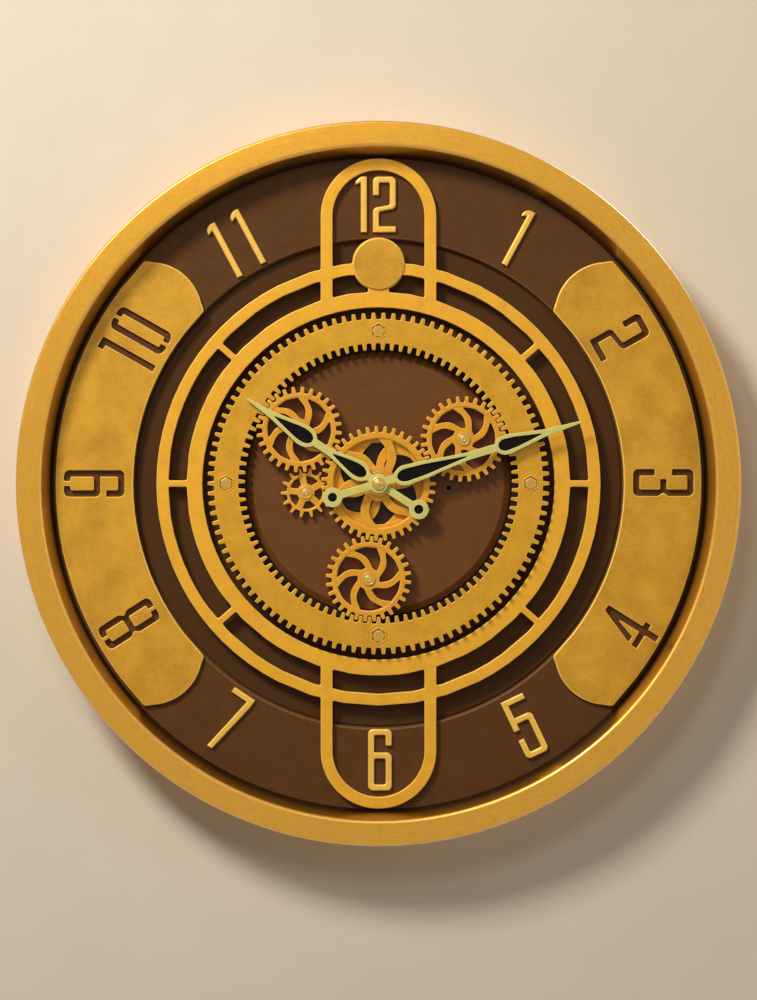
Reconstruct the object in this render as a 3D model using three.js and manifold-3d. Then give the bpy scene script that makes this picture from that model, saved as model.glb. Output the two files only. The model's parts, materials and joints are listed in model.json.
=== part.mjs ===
// Round wall clock with a working gear train on show.
// Local frame while modelling: x right, y up, z towards the viewer, wall at z = 0.
// The finished group is turned so that the dial faces -Y and +Z is up.
import * as THREE from 'three';
import { mergeVertices } from 'three/addons/utils/BufferGeometryUtils.js';
import Module from 'manifold-3d';

const wasm = await Module();
wasm.setup();

// Clearances, in millimetres.
const seatGap = 0.3;
const runningGap = 0.3;
const archRimGap = 0.5;
const panelRimGap = 2;
const panelStepGap = 0.1;
const drumRingGap = 1.1;
const hoopNeckGap = 1.2;
const bayClearance = 0.6;
const handClearance = 2.7;

// Sides of the drawn circles.
const largeSides = 40;
const mediumSides = 32;
const smallSides = 12;
const pinSides = 8;
const holeSides = 6;

// Gear train. Every radius outside it follows from its module.
const gearModule = 2.38;
const sunTeeth = 39;
const planetTeeth = 28;
const ringTeeth = 95;
const ringOuterTeeth = 106;
const idlerTeeth = 14;
const rearSunTeeth = 33;
const sunAddendum = 1.4;
const sunToothDepth = 5.3;
const planetAddendum = 2.35;
const planetToothDepth = 5.1;
const ringAddendum = 2.15;
const ringToothDepth = 5.6;
const ringRimWidth = 28.95;
const ringOuterToothDepth = 5.3;
const idlerTip = 21;
const idlerToothDepth = 5;
const rearSunTip = 43.3;
const rearSunToothDepth = 3.9;
const toothRootShare = 0.52;
const toothTipShare = 0.34;
const idlerRootShare = 0.46;
const idlerTipShare = 0.2;
// Steps of the sun-plus-ring tooth count. They differ by whole numbers, so that every planet meshes.
const planetSteps = [10.275, 54.275, 98.275];
const idlerX = -60.5;
const idlerY = -7.5;
const gearStandoff = 2;
const rearGearThickness = 3.7;
const layerGap = 0.6;
const frontGearThickness = 4.7;
const ringThickness = 4;

// Frame, dial and rim, as widths from the ring gear outwards.
const ringFrameGap = 4.7;
const innerRingWidth = 13.3;
const ringSpacing = 15.3;
const outerRingWidth = 9.8;
const frameStepGap = 19.2;
const annulusWidth = 67.2;
const rimWallLean = 7.5;
const rimFaceWidth = 21;

// Case: rim and dial.
const rimDepth = 55;
const rimSheet = 2;
const rimLipWidth = 8;
const rimEdgeRound = 1.5;
const rimBossRadius = 4;
const rimScrewCount = 4;
const dialBack = 21;
const dialSheet = 3;
const dialStepHeight = 6;
const dialStepRound = 1.6;
const grooveWidth = 1.8;
const grooveDepth = 0.9;
const dialEdgeInset = 9;

// Drum that carries the gears: a flat face and a sloping side.
const drumNeckInset = 5.8;
const drumNeckHeight = 3.2;
const drumFlange = 3.5;
const drumLip = 0.7;
const drumSlope = 5.6;
const drumWellRadius = 10;
const spareBossX = 58.6;
const spareBossY = -3.7;
const spareBossRadius = 4;
const spareBossHole = 2.3;
const spareBossHeight = 1.6;
const drumStudRadius = 2.2;
const drumStudCircle = 78;

// Gear webs.
const spokeCount = 6;
const sunHubRadius = 14.2;
const sunOpeningRadius = 37.3;
const sunSpokeWidth = 7;
const sunSpokeStart = 54.5;
const sunSpokeTurnFrom = 1.127;
const sunSpokeSweep = 8.8;
const sunSpokeCurl = 6.05;
const rearSunOpeningRadius = 33;
const rearSunSpokeStart = 27.7;
const rearSunSpokeSweep = 13.5;
const planetHubRadius = 9.4;
const planetOpeningRadius = 26.6;
const planetSpokeWidth = 5.2;
const planetSpokeSweep = 22.6;
const idlerOpenings = 5;
const idlerHubRadius = 7.6;
const idlerOpeningRadius = 13.8;
const idlerSpokeWidth = 5.5;
const idlerSpokeStart = -42;

// Axles, sleeve, screws and ring carrier.
const axleRadius = 3;
const axleCollarRadius = 6.5;
const idlerAxleRadius = 2.4;
const sleeveBore = 4.4;
const sleeveRadius = 6;
const sleeveFlangeRadius = 13;
const sleeveFlange = 1.3;
const retainerRadius = 10;
const retainerThickness = 0.8;
const washerRadius = 5.3;
const washerThickness = 0.6;
const screwHeadRadius = 2.75;
const screwHeadHeight = 1.1;
const screwShankRadius = 1.2;
const screwShankLength = 6;
const hoopThickness = 2;
const hoopPostRadius = 4;
const hoopPostRim = 0.9;
const hexHeadAcross = 10.2;
const hexRecessAcross = 12.1;
const hexRecessDepth = 2;
const hexHeadHeight = 1.4;
const boltShankRadius = 2.2;
const boltReach = 6;
const axleFoot = 0.7;
const shaftFoot = 3;

// Frame and badge.
const frameThickness = 5;
const barWidth = 5.4;
const barAngle = 41;
const archHalfWidth = 48.2;
const archBarWidth = 9.9;
const archSteps = 14;
const badgeRadius = 22;
const badgeRise = 1;
const badgeSides = 24;
const badgeEdge = 0.5;
const badgeThickness = 2;
const badgeInset = 0.8;
const badgeNeckWidth = 17.5;
const frameStudRadius = 3.2;
const frameStudTail = 1.6;

// Numeral panels.
const panelThickness = 3.5;
const panelCapSpread = 11.25;
const panelCapAngle = 36.5;
const panelCapSteps = 8;
const panelArcSteps = 14;
const panelBevel = 1.2;

// Numerals: a square-shouldered condensed figure.
const numeralThickness = 3;
const stroke = 5.3;
const figureWidth = 20.6;
const figureHeight = 50.4;
const shortFigureHeight = 46.8;
const oneWidth = 9.7;
const oneSpacing = 22.5;
const figureRound = 4.4;
const counterRound = 1.2;
const waistNotch = 3;
const bridgeWidth = 3;
const bridgeOver = 1;
const numeralInset = 1.45;

// Hands.
const handThickness = 1.2;
const handSpacing = 1.7;
const backingThickness = 0.4;
const backingInset = 1.2;
const handFrameWidth = 3.3;
const hourHandLength = 129.6;
const hourHandAngle = 147.2;
const minuteHandLength = 176;
const minuteHandAngle = 16.9;
const handHubRadius = 7.9;
const handTailReach = 39.8;
const handTailRing = 8.2;
const handTailHole = 3.8;
const handTailWidth = 6.2;
const handTipHalf = 0.9;
const hourTubeRadius = 2.6;
const arborRadius = 1.6;
const capNutRadius = 5.6;
const capNutHeight = 3.4;
const capNutCollar = 0.6;
const tubeFoot = 1.5;

// Movement, gear motor and hanger behind the dial.
const movementSize = 56;
const movementThickness = 16;
const bushRadius = 4;
const bushNutAcross = 12.6;
const bushNutHeight = 2;
const cellRadius = 7.1;
const cellLength = 49.5;
const cellTipRadius = 2.7;
const cellTipLength = 1;
const cellOffset = -15.5;
const knobRadius = 6.5;
const knobHeight = 2.6;
const knobRidges = 12;
const knobRidgeDepth = 0.5;
const knobShaftRadius = 2;
const knobShaftLength = 3.4;
const knobOffset = 14;
const motorWidth = 70;
const motorHeight = 60;
const motorThickness = 17.5;
const motorDrop = 8.7;
const motorBayMargin = 2.2;
const switchWidth = 6.4;
const switchHeight = 4;
const switchTravel = 3;
const switchRise = 1.6;
const switchDepth = 2.3;
const switchOffsetX = 22;
const switchOffsetY = 21;
const caseCorner = 4;
const hangerHeight = 24;
const hangerHalfWidth = 30;
const hangerFoot = 12;
const hangerSheet = 1.5;
const hangerRimGap = 31.5;
const hangerBack = 3;
const keyholeRadius = 5;
const keyholeSlotRadius = 2.2;
const keyholeSlotRise = 7;
const panHeadRadius = 3.2;
const panHeadHeight = 2;

// Levels above the wall, derived from the sizes above.
const floorFront = dialBack + dialSheet;
const annulusBack = dialBack + dialStepHeight;
const annulusFront = floorFront + dialStepHeight;
const plateBack = annulusFront + seatGap;
const plateFront = plateBack + frameThickness;
const drumBack = floorFront + seatGap;
const drumUnderside = drumBack + drumNeckHeight;
const drumFront = drumUnderside + drumFlange;
const gearBack = drumFront + gearStandoff;
const rearLayerTop = gearBack + rearGearThickness;
const frontLayerBack = rearLayerTop + layerGap;
const gearFront = frontLayerBack + frontGearThickness;
const ringBack = gearFront - ringThickness;
const collarTop = gearBack - seatGap;
const hourBackingBack = gearFront + handClearance;
const hourHandBack = hourBackingBack + backingThickness + seatGap;
const hourHandFront = hourHandBack + handThickness;
const minuteBackingBack = hourHandFront + handSpacing;
const minuteHandBack = minuteBackingBack + backingThickness + seatGap;
const minuteHandFront = minuteHandBack + handThickness;
const movementFront = dialBack - seatGap;
const movementBack = movementFront - movementThickness;
const motorBack = movementFront - motorThickness;

// Gear geometry, derived from the tooth counts.
const pitchRadius = (teeth) => (gearModule * teeth) / 2;
const planetOrbit = pitchRadius(sunTeeth) + pitchRadius(planetTeeth);
const planetStepAngle = 360 / (sunTeeth + ringTeeth);
const planetAngles = planetSteps.map((step) => step * planetStepAngle);
const sunPhase = 0;
const ringInnerTip = pitchRadius(ringTeeth) - ringAddendum;
const ringInnerRoot = ringInnerTip + ringToothDepth;
const ringOuterTip = pitchRadius(ringTeeth) + ringRimWidth;
const ringOuterRoot = ringOuterTip - ringOuterToothDepth;
const ringPostCircle = (ringOuterRoot + ringInnerRoot) / 2;

// Radii from the ring gear outwards.
const drumRadius = ringInnerTip - drumRingGap;
const drumNeck = drumRadius - drumNeckInset;
const innerRingInner = ringOuterTip + ringFrameGap;
const innerRingOuter = innerRingInner + innerRingWidth;
const outerRingInner = innerRingOuter + ringSpacing;
const outerRingOuter = outerRingInner + outerRingWidth;
const dialStepRadius = outerRingOuter + frameStepGap;
const rimFoot = dialStepRadius + annulusWidth;
const rimFace = rimFoot + rimWallLean;
const rimRadius = rimFace + rimFaceWidth;
const dialEdge = rimRadius - dialEdgeInset;
const rimScrewCircle = dialEdge - rimBossRadius;
const archTip = rimFoot - archRimGap;
const panelInner = dialStepRadius + panelStepGap;
const panelOuter = rimFoot - panelRimGap;
const panelMiddle = (panelInner + panelOuter) / 2;
const panelCapRadius = (panelOuter - panelInner) / 2 + panelCapSpread;
const numeralCircle = panelMiddle - numeralInset;
const badgeCentre = innerRingOuter + badgeRadius + badgeRise;
const hangerCentre = rimFoot - hangerRimGap;

const FULL_TURN = Math.PI * 2;
const radians = (degrees) => (degrees * Math.PI) / 180;
const degrees = (angle) => (angle * 180) / Math.PI;
const polar = (radius, angle) => [radius * Math.cos(radians(angle)), radius * Math.sin(radians(angle))];

// Finishes, one colour family per real material.
const FINISH = {
  rimGold: { color: 0xd9a441, roughness: 0.38, metalness: 0.85 },
  frameGold: { color: 0xe8ad3c, roughness: 0.42, metalness: 0.6 },
  panelGold: { color: 0xc79a3a, roughness: 0.5, metalness: 0.6 },
  gearGold: { color: 0xe3a033, roughness: 0.5, metalness: 0.35 },
  ringGold: { color: 0xd09b37, roughness: 0.5, metalness: 0.5 },
  numeralGold: { color: 0xf2c45a, roughness: 0.4, metalness: 0.6 },
  dialBrown: { color: 0x4f331c, roughness: 0.55, metalness: 0 },
  drumBrown: { color: 0x66422a, roughness: 0.3, metalness: 0 },
  handGreen: { color: 0xd2cb72, roughness: 0.6, metalness: 0 },
  inlayBlack: { color: 0x17110b, roughness: 0.7, metalness: 0 },
  brass: { color: 0xd8ab4a, roughness: 0.3, metalness: 0.9 },
  blackPlastic: { color: 0x16171a, roughness: 0.45, metalness: 0 },
  greyPlastic: { color: 0x6b6d70, roughness: 0.5, metalness: 0 },
  steel: { color: 0xa9abad, roughness: 0.35, metalness: 0.95 },
  cellWrap: { color: 0x2f5d3a, roughness: 0.4, metalness: 0.2 },
};

// A closed body as a boolean solid; zero-area facets on a turning axis are dropped first.
function toSolid(geometry) {
  const bare = geometry.clone();
  bare.deleteAttribute('normal');
  bare.deleteAttribute('uv');
  const merged = mergeVertices(bare, 1e-4);
  const corners = merged.index.array;
  const kept = [];
  for (let i = 0; i < corners.length; i += 3) {
    const [a, b, c] = [corners[i], corners[i + 1], corners[i + 2]];
    if (a !== b && b !== c && c !== a) {
      kept.push(a, b, c);
    }
  }
  const vertProperties = new Float32Array(merged.attributes.position.array);
  const mesh = new wasm.Mesh({ numProp: 3, vertProperties, triVerts: new Uint32Array(kept) });
  return new wasm.Manifold(mesh);
}

function toGeometry(solid) {
  const mesh = solid.getMesh();
  const geometry = new THREE.BufferGeometry();
  geometry.setAttribute('position', new THREE.BufferAttribute(mesh.vertProperties, 3));
  geometry.setIndex(new THREE.BufferAttribute(mesh.triVerts, 1));
  const flat = geometry.toNonIndexed();
  flat.computeVertexNormals();
  return flat;
}

const joined = (solids) => solids.reduce((whole, next) => whole.add(next));
const cut = (solid, tools) => tools.reduce((rest, tool) => rest.subtract(tool), solid);

// A plate between two levels, from an outline and the outlines of its holes.
function plate(outline, back, front, holes = []) {
  const shape = new THREE.Shape(outline.map(([x, y]) => new THREE.Vector2(x, y)));
  for (const hole of holes) {
    shape.holes.push(new THREE.Path(hole.map(([x, y]) => new THREE.Vector2(x, y))));
  }
  const geometry = new THREE.ExtrudeGeometry(shape, { depth: front - back, bevelEnabled: false });
  geometry.translate(0, 0, back);
  return toSolid(geometry);
}

// A body turned about the z axis from [radius, level] points listed anticlockwise.
function turned(profile, segments, x = 0, y = 0) {
  const points = profile.map(([radius, level]) => new THREE.Vector2(radius, level));
  const onAxis = profile[0][0] === 0 && profile[profile.length - 1][0] === 0;
  if (!onAxis) {
    points.push(points[0].clone());
  }
  const geometry = new THREE.LatheGeometry(points, segments);
  geometry.rotateX(Math.PI / 2);
  geometry.translate(x, y, 0);
  return toSolid(geometry);
}

const rod = (radius, back, front, x = 0, y = 0, segments = smallSides) =>
  turned([[0, back], [radius, back], [radius, front], [0, front]], segments, x, y);

const washer = (inner, outer, back, front, segments, x = 0, y = 0) =>
  turned([[inner, back], [outer, back], [outer, front], [inner, front]], segments, x, y);

function block(x0, x1, y0, y1, back, front) {
  return plate([[x0, y0], [x1, y0], [x1, y1], [x0, y1]], back, front);
}

// Points of an arc, both ends included.
function arc(cx, cy, radius, from, to, steps) {
  const points = [];
  for (let i = 0; i <= steps; i += 1) {
    const [x, y] = polar(radius, from + ((to - from) * i) / steps);
    points.push([cx + x, cy + y]);
  }
  return points;
}

// Angle between the sides a and b of a triangle whose third side is c.
const between = (a, b, c) => degrees(Math.acos((a ** 2 + b ** 2 - c ** 2) / (2 * a * b)));

const circle = (radius, segments, cx = 0, cy = 0) =>
  arc(cx, cy, radius, 0, 360 - 360 / segments, segments - 1);

// A polygon given as [x, y, corner radius], with each rounded corner drawn as a short arc.
function rounded(corners, steps = 2) {
  const points = [];
  corners.forEach(([x, y, radius], i) => {
    if (!radius) {
      points.push([x, y]);
      return;
    }
    const [px, py] = corners[(i + corners.length - 1) % corners.length];
    const [nx, ny] = corners[(i + 1) % corners.length];
    const before = Math.hypot(px - x, py - y);
    const after = Math.hypot(nx - x, ny - y);
    const ux = (px - x) / before;
    const uy = (py - y) / before;
    const vx = (nx - x) / after;
    const vy = (ny - y) / after;
    const half = Math.acos(ux * vx + uy * vy) / 2;
    const reach = Math.min(radius / Math.tan(half), before * 0.49, after * 0.49);
    const real = reach * Math.tan(half);
    const length = real / Math.sin(half);
    const bx = ux + vx;
    const by = uy + vy;
    const size = Math.hypot(bx, by);
    const cx = x + (bx / size) * length;
    const cy = y + (by / size) * length;
    const start = Math.atan2(y + uy * reach - cy, x + ux * reach - cx);
    const end = Math.atan2(y + vy * reach - cy, x + vx * reach - cx);
    let sweep = end - start;
    if (sweep > Math.PI) {
      sweep -= FULL_TURN;
    }
    if (sweep < -Math.PI) {
      sweep += FULL_TURN;
    }
    points.push(...arc(cx, cy, real, degrees(start), degrees(start + sweep), steps));
  });
  return points;
}

const box2d = (x0, y0, x1, y1, radius) =>
  [[x0, y0, radius], [x1, y0, radius], [x1, y1, radius], [x0, y1, radius]];

function hexagon(across, cx = 0, cy = 0, turn = 0) {
  return arc(cx, cy, across / 2, turn, turn + 300, 5);
}

// Tooth outline: each tooth is a root corner, two tip corners and a root corner.
function toothedOutline(teeth, tip, root, phase, shares = [toothRootShare, toothTipShare]) {
  const [rootShare, tipShare] = shares;
  const pitch = 360 / teeth;
  const points = [];
  for (let tooth = 0; tooth < teeth; tooth += 1) {
    const centre = phase + tooth * pitch;
    points.push(polar(root, centre - (pitch * rootShare) / 2));
    points.push(polar(tip, centre - (pitch * tipShare) / 2));
    points.push(polar(tip, centre + (pitch * tipShare) / 2));
    points.push(polar(root, centre + (pitch * rootShare) / 2));
  }
  return points;
}

// One opening between two curved spokes; lead(radius) is the spoke's angle there.
function webOpening(index, count, inner, outer, width, lead) {
  const steps = 2;
  const first = [];
  const second = [];
  const share = 360 / count;
  for (let i = 0; i <= steps; i += 1) {
    const radius = inner + ((outer - inner) * i) / steps;
    const slope = radians(lead(radius + 0.5) - lead(radius - 0.5)) * radius;
    const half = degrees((width / 2 / radius) * Math.hypot(1, slope));
    const spoke = lead(radius) + index * share;
    first.push([radius, spoke + half]);
    second.unshift([radius, spoke + share - half]);
  }
  const from = first[steps][1];
  const to = second[0][1];
  const rimPoint = [outer, (from + to) / 2];
  const hubPoint = [inner * 0.97, (first[0][1] + second[steps][1]) / 2];
  return [...first, rimPoint, ...second, hubPoint].map(([radius, angle]) => polar(radius, angle));
}

function webOpenings(count, inner, outer, width, lead, phase) {
  const turnedLead = (radius) => lead(radius) + phase;
  return Array.from({ length: count }, (_, i) =>
    webOpening(i, count, inner, outer, width, turnedLead));
}

const moved = (outline, cx, cy) => outline.map(([x, y]) => [x + cx, y + cy]);

// Phase of a gear that meshes with another: angle is the direction from the driver to it.
function meshedPhase(driverTeeth, driverPhase, teeth, angle) {
  const offset = ((driverPhase - angle) * driverTeeth) / 360;
  return angle + 180 - (360 / teeth) * (offset + 0.5);
}

// Phase of the internal ring that a planet at this angle meshes with.
function ringPhaseFor(planetPhase, angle) {
  const offset = ((planetPhase - angle) * planetTeeth) / 360 + 0.5;
  return angle + (offset * 360) / ringTeeth;
}

const planetPhases = planetAngles.map((angle) => meshedPhase(sunTeeth, sunPhase, planetTeeth, angle));
const planetCentres = planetAngles.map((angle) => polar(planetOrbit, angle));
const planetNames = ['right', 'left', 'bottom'];
const idlerFromPlanet = degrees(Math.atan2(idlerY - planetCentres[1][1], idlerX - planetCentres[1][0]));
const idlerPhase = meshedPhase(planetTeeth, planetPhases[1], idlerTeeth, idlerFromPlanet);
const idlerToSun = degrees(Math.atan2(-idlerY, -idlerX));
const rearSunPhase = meshedPhase(idlerTeeth, idlerPhase, rearSunTeeth, idlerToSun);
const ringPhase = ringPhaseFor(planetPhases[0], planetAngles[0]);

// Places repeated round the centre.
const around = (count, radius, start) =>
  Array.from({ length: count }, (_, i) => polar(radius, start + (i * 360) / count));

const rimScrewPlaces = around(rimScrewCount, rimScrewCircle, 45);
const ringBoltPlaces = around(4, ringPostCircle, 0);
const barAngles = [0, barAngle, 180 - barAngle, 180, 180 + barAngle, 360 - barAngle];
const frameStudCircle = (outerRingOuter + outerRingInner) / 2;
const frameStudPlaces = barAngles.map((angle) => polar(frameStudCircle, angle));
const drumStudPlaces = around(3, drumStudCircle, 60);
const motorX = planetCentres[2][0];
const motorY = planetCentres[2][1] - motorDrop;

function outerRim() {
  const inside = rimRadius - rimSheet;
  const shell = turned([
    [rimRadius - rimLipWidth, 0],
    [rimRadius, 0],
    [rimRadius, rimDepth - rimEdgeRound],
    [rimRadius - rimEdgeRound, rimDepth],
    [rimFace + rimEdgeRound, rimDepth],
    [rimFace, rimDepth - rimEdgeRound / 2],
    [rimFoot, plateBack],
    [rimFoot + rimSheet, plateBack],
    [rimFace + rimSheet, rimDepth - rimSheet],
    [inside, rimDepth - rimSheet],
    [inside, rimSheet],
    [rimRadius - rimLipWidth, rimSheet],
  ], largeSides);
  const bosses = rimScrewPlaces.map(([x, y]) =>
    rod(rimBossRadius, plateBack, rimDepth - rimSheet / 2, x, y, pinSides));
  const holes = rimScrewPlaces.map(([x, y]) =>
    rod(screwShankRadius + runningGap, annulusBack, annulusFront + screwShankLength, x, y, holeSides));
  return cut(joined([shell, ...bosses]), holes);
}

function dialPlate() {
  const bore = bushRadius + seatGap;
  const body = turned([
    [bore, dialBack],
    [dialStepRadius + dialSheet, dialBack],
    [dialStepRadius + dialSheet, annulusBack],
    [dialEdge, annulusBack],
    [dialEdge, annulusFront],
    [dialStepRadius + dialStepRound, annulusFront],
    [dialStepRadius, annulusFront - dialStepRound],
    [dialStepRadius, floorFront - grooveDepth],
    [dialStepRadius - grooveWidth, floorFront - grooveDepth],
    [dialStepRadius - grooveWidth, floorFront],
    [bore, floorFront],
  ], largeSides);
  const through = (radius, places, sides = holeSides) =>
    places.map(([x, y]) => rod(radius + runningGap, dialBack - 1, annulusFront + 1, x, y, sides));
  return cut(body, [
    ...through(screwShankRadius, rimScrewPlaces),
    ...through(frameStudTail, frameStudPlaces),
    ...through(drumStudRadius, drumStudPlaces),
    ...through(axleRadius, [planetCentres[2]], pinSides),
    ...hangerScrewPlaces().map(([x, y]) =>
      rod(screwShankRadius + runningGap, annulusBack - 1, annulusFront - dialSheet / 4, x, y, holeSides)),
  ]);
}

function gearDrum() {
  const body = turned([
    [drumWellRadius, drumBack],
    [drumNeck, drumBack],
    [drumNeck, drumUnderside],
    [drumRadius, drumUnderside],
    [drumRadius, drumUnderside + drumLip],
    [drumRadius - drumSlope, drumFront],
    [drumWellRadius, drumFront],
  ], mediumSides);
  const boss = rod(spareBossRadius, drumFront - 1, drumFront + spareBossHeight, spareBossX, spareBossY);
  const studs = drumStudPlaces.map(([x, y]) =>
    rod(drumStudRadius, dialBack - 1, drumBack + 1, x, y, holeSides));
  const axleHole = (radius, [x, y]) =>
    rod(radius + runningGap, drumBack - 1, drumFront + 1, x, y, pinSides);
  return cut(joined([body, boss, ...studs]), [
    rod(spareBossHole, drumBack + 1, drumFront + spareBossHeight + 1, spareBossX, spareBossY, pinSides),
    axleHole(axleRadius, planetCentres[0]),
    axleHole(axleRadius, planetCentres[1]),
    axleHole(axleRadius, planetCentres[2]),
    axleHole(idlerAxleRadius, [idlerX, idlerY]),
  ]);
}

// A U-shaped arch bar: two legs from the inner ring and a half circle over the numeral.
function archOutline(halfWidth, legFoot) {
  const centre = archTip - archHalfWidth;
  return [[-halfWidth, legFoot], [halfWidth, legFoot], ...arc(0, centre, halfWidth, 0, 180, archSteps)];
}

function arch() {
  const middle = (innerRingInner + innerRingOuter) / 2;
  const inner = archHalfWidth - archBarWidth;
  const foot = Math.sqrt(middle ** 2 - archHalfWidth ** 2);
  const innerFoot = Math.sqrt(innerRingInner ** 2 - inner ** 2) - archBarWidth;
  const outside = plate(archOutline(archHalfWidth, foot), plateBack, plateFront);
  return outside.subtract(plate(archOutline(inner, innerFoot), plateBack - 1, plateFront + 1));
}

function frame() {
  const bars = barAngles.map((angle) =>
    block(innerRingOuter - 2, outerRingInner + 2, -barWidth / 2, barWidth / 2, plateBack, plateFront)
      .rotate([0, 0, angle]));
  const top = arch();
  const neckHalf = badgeNeckWidth / 2;
  const neck = block(-neckHalf, neckHalf, innerRingOuter - 2, badgeCentre, plateBack, plateFront);
  const studs = frameStudPlaces.map(([x, y]) => turned([
    [0, dialBack - 1],
    [frameStudTail, dialBack - 1],
    [frameStudTail, floorFront + seatGap],
    [frameStudRadius, floorFront + seatGap],
    [frameStudRadius, plateBack + 1],
    [0, plateBack + 1],
  ], holeSides, x, y));
  return joined([
    washer(outerRingInner, outerRingOuter, plateBack, plateFront, largeSides),
    washer(innerRingInner, innerRingOuter, plateBack, plateFront, largeSides),
    ...bars,
    top,
    top.rotate([0, 0, 180]),
    rod(badgeRadius, plateBack, plateFront, 0, badgeCentre, badgeSides),
    neck,
    ...studs,
  ]);
}

function badgeDisc() {
  const back = plateFront + seatGap;
  const edge = badgeRadius - badgeInset;
  return turned([
    [0, back],
    [edge, back],
    [edge, back + badgeThickness - badgeEdge],
    [edge - badgeEdge, back + badgeThickness],
    [0, back + badgeThickness],
  ], badgeSides, 0, badgeCentre);
}

// Numeral panel to the right of the centre: two arcs about the centre, joined by a wide cap at each
// end. The caps cross both arcs at a corner.
function panelOutline() {
  const [cx, cy] = polar(panelMiddle, panelCapAngle);
  const cornerAngle = (radius) => panelCapAngle + between(panelMiddle, radius, panelCapRadius);
  const onCap = (radius) => panelCapAngle + 180 - between(panelMiddle, panelCapRadius, radius);
  const upperCap = arc(cx, cy, panelCapRadius, onCap(panelInner), onCap(panelOuter), panelCapSteps);
  const lowerCap = upperCap.map(([x, y]) => [x, -y]);
  const edge = (radius) => {
    const end = cornerAngle(radius);
    return arc(0, 0, radius, -end, end, panelArcSteps).slice(1, -1);
  };
  return [...lowerCap, ...edge(panelOuter), ...upperCap.reverse(), ...edge(panelInner).reverse()];
}

// Panel plate with a softened front edge: the back of a bevelled body is trimmed flat.
function panelBlank(turn) {
  const shape = new THREE.Shape(panelOutline().map(([x, y]) => new THREE.Vector2(x, y)));
  const geometry = new THREE.ExtrudeGeometry(shape, {
    depth: panelThickness,
    bevelEnabled: true,
    bevelThickness: panelBevel,
    bevelSize: panelBevel,
    bevelOffset: -panelBevel,
    bevelSegments: 1,
  });
  geometry.translate(0, 0, plateBack - panelBevel);
  const slab = block(panelInner / 2, panelOuter + 5, -panelOuter, panelOuter, plateBack - 5, plateBack);
  return toSolid(geometry).subtract(slab).rotate([0, 0, turn]);
}

// Numeral outlines. Each is drawn in a box from (0, 0) with y up, then placed by its middle.
const figureOne = (height) => ({
  width: oneWidth,
  height,
  outline: [
    [oneWidth, 0, 0], [oneWidth, height, 0], [oneWidth * 0.515, height, 0], [0, height * 0.911, 0],
    [0, height * 0.845, 0], [oneWidth - stroke, height * 0.887, 0], [oneWidth - stroke, 0, 0],
  ],
  holes: [],
});

const figureBlockOne = (height) => ({
  width: oneWidth,
  height,
  outline: [
    [oneWidth, 0, 0], [oneWidth, height, 0], [0, height, 0], [0, height - stroke, 0],
    [oneWidth - stroke, height - stroke, 0], [oneWidth - stroke, 0, 0],
  ],
  holes: [],
});

function figureTwo(width, height) {
  const hook = height * 0.66;
  const band = height * 0.44;
  return {
    width,
    height,
    outline: [
      [0, 0, 0], [width, 0, 0], [width, stroke, 0], [stroke, stroke, 0],
      [stroke, height * 0.37, counterRound], [width, height * 0.425, figureRound],
      [width, height, figureRound], [0, height, figureRound], [0, hook, 0], [stroke, hook, 0],
      [stroke, height - stroke, counterRound], [width - stroke, height - stroke, counterRound],
      [width - stroke, height * 0.493, counterRound], [0, band, figureRound],
    ],
    holes: [],
  };
}

// Points of a pinched waist on the right side, at the middle of a three or an eight.
function waist(width, middle) {
  const reach = waistNotch + counterRound;
  return [
    [width, middle - reach, waistNotch],
    [width - waistNotch, middle, 0],
    [width, middle + reach, waistNotch],
  ];
}

function figureThree(width, height) {
  const middle = height / 2;
  const half = stroke / 2;
  const hook = height * 0.357;
  const inner = width - stroke;
  const tongue = width * 0.375;
  return {
    width,
    height,
    outline: [
      [0, 0, figureRound], [width, 0, figureRound], ...waist(width, middle),
      [width, height, figureRound], [0, height, figureRound],
      [0, height - hook, 0], [stroke, height - hook, 0], [stroke, height - stroke, counterRound],
      [inner, height - stroke, counterRound], [inner, middle + half, counterRound],
      [tongue, middle + half, 0], [tongue, middle - half, 0],
      [inner, middle - half, counterRound], [inner, stroke, counterRound],
      [stroke, stroke, counterRound], [stroke, hook, 0], [0, hook, 0],
    ],
    holes: [],
  };
}

function figureFour(width, height) {
  const stemRight = width * 0.802;
  const stemLeft = stemRight - stroke;
  const barTop = height * 0.323;
  const barFoot = barTop - stroke;
  return {
    width,
    height,
    outline: [
      [0, barFoot, 0], [stemLeft, barFoot, 0], [stemLeft, 0, 0], [stemRight, 0, 0],
      [stemRight, barFoot, 0], [width, barFoot, 0], [width, barTop, 0], [stemRight, barTop, 0],
      [stemRight, height, 0], [stemLeft, height, 0], [0, barTop + bridgeOver, 0],
    ],
    holes: [[[stroke, barTop, 0], [stemLeft, barTop, 0], [stemLeft, height * 0.8, 0]]],
    bridges: [[-bridgeOver, barTop, stroke + bridgeOver, barTop + bridgeWidth]],
  };
}

function figureFive(width, height) {
  const shelf = height * 0.685;
  const hook = height * 0.336;
  const drop = height * 0.482;
  return {
    width,
    height,
    outline: [
      [0, hook, 0], [0, 0, figureRound], [width, 0, figureRound], [width, shelf, figureRound],
      [stroke, shelf, 0], [stroke, height - stroke, 0], [width, height - stroke, 0], [width, height, 0],
      [0, height, 0], [0, drop, 0], [stroke, drop, 0], [stroke, shelf - stroke, 0],
      [width - stroke, shelf - stroke, counterRound], [width - stroke, stroke, counterRound],
      [stroke, stroke, counterRound], [stroke, hook, 0],
    ],
    holes: [],
  };
}

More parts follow.
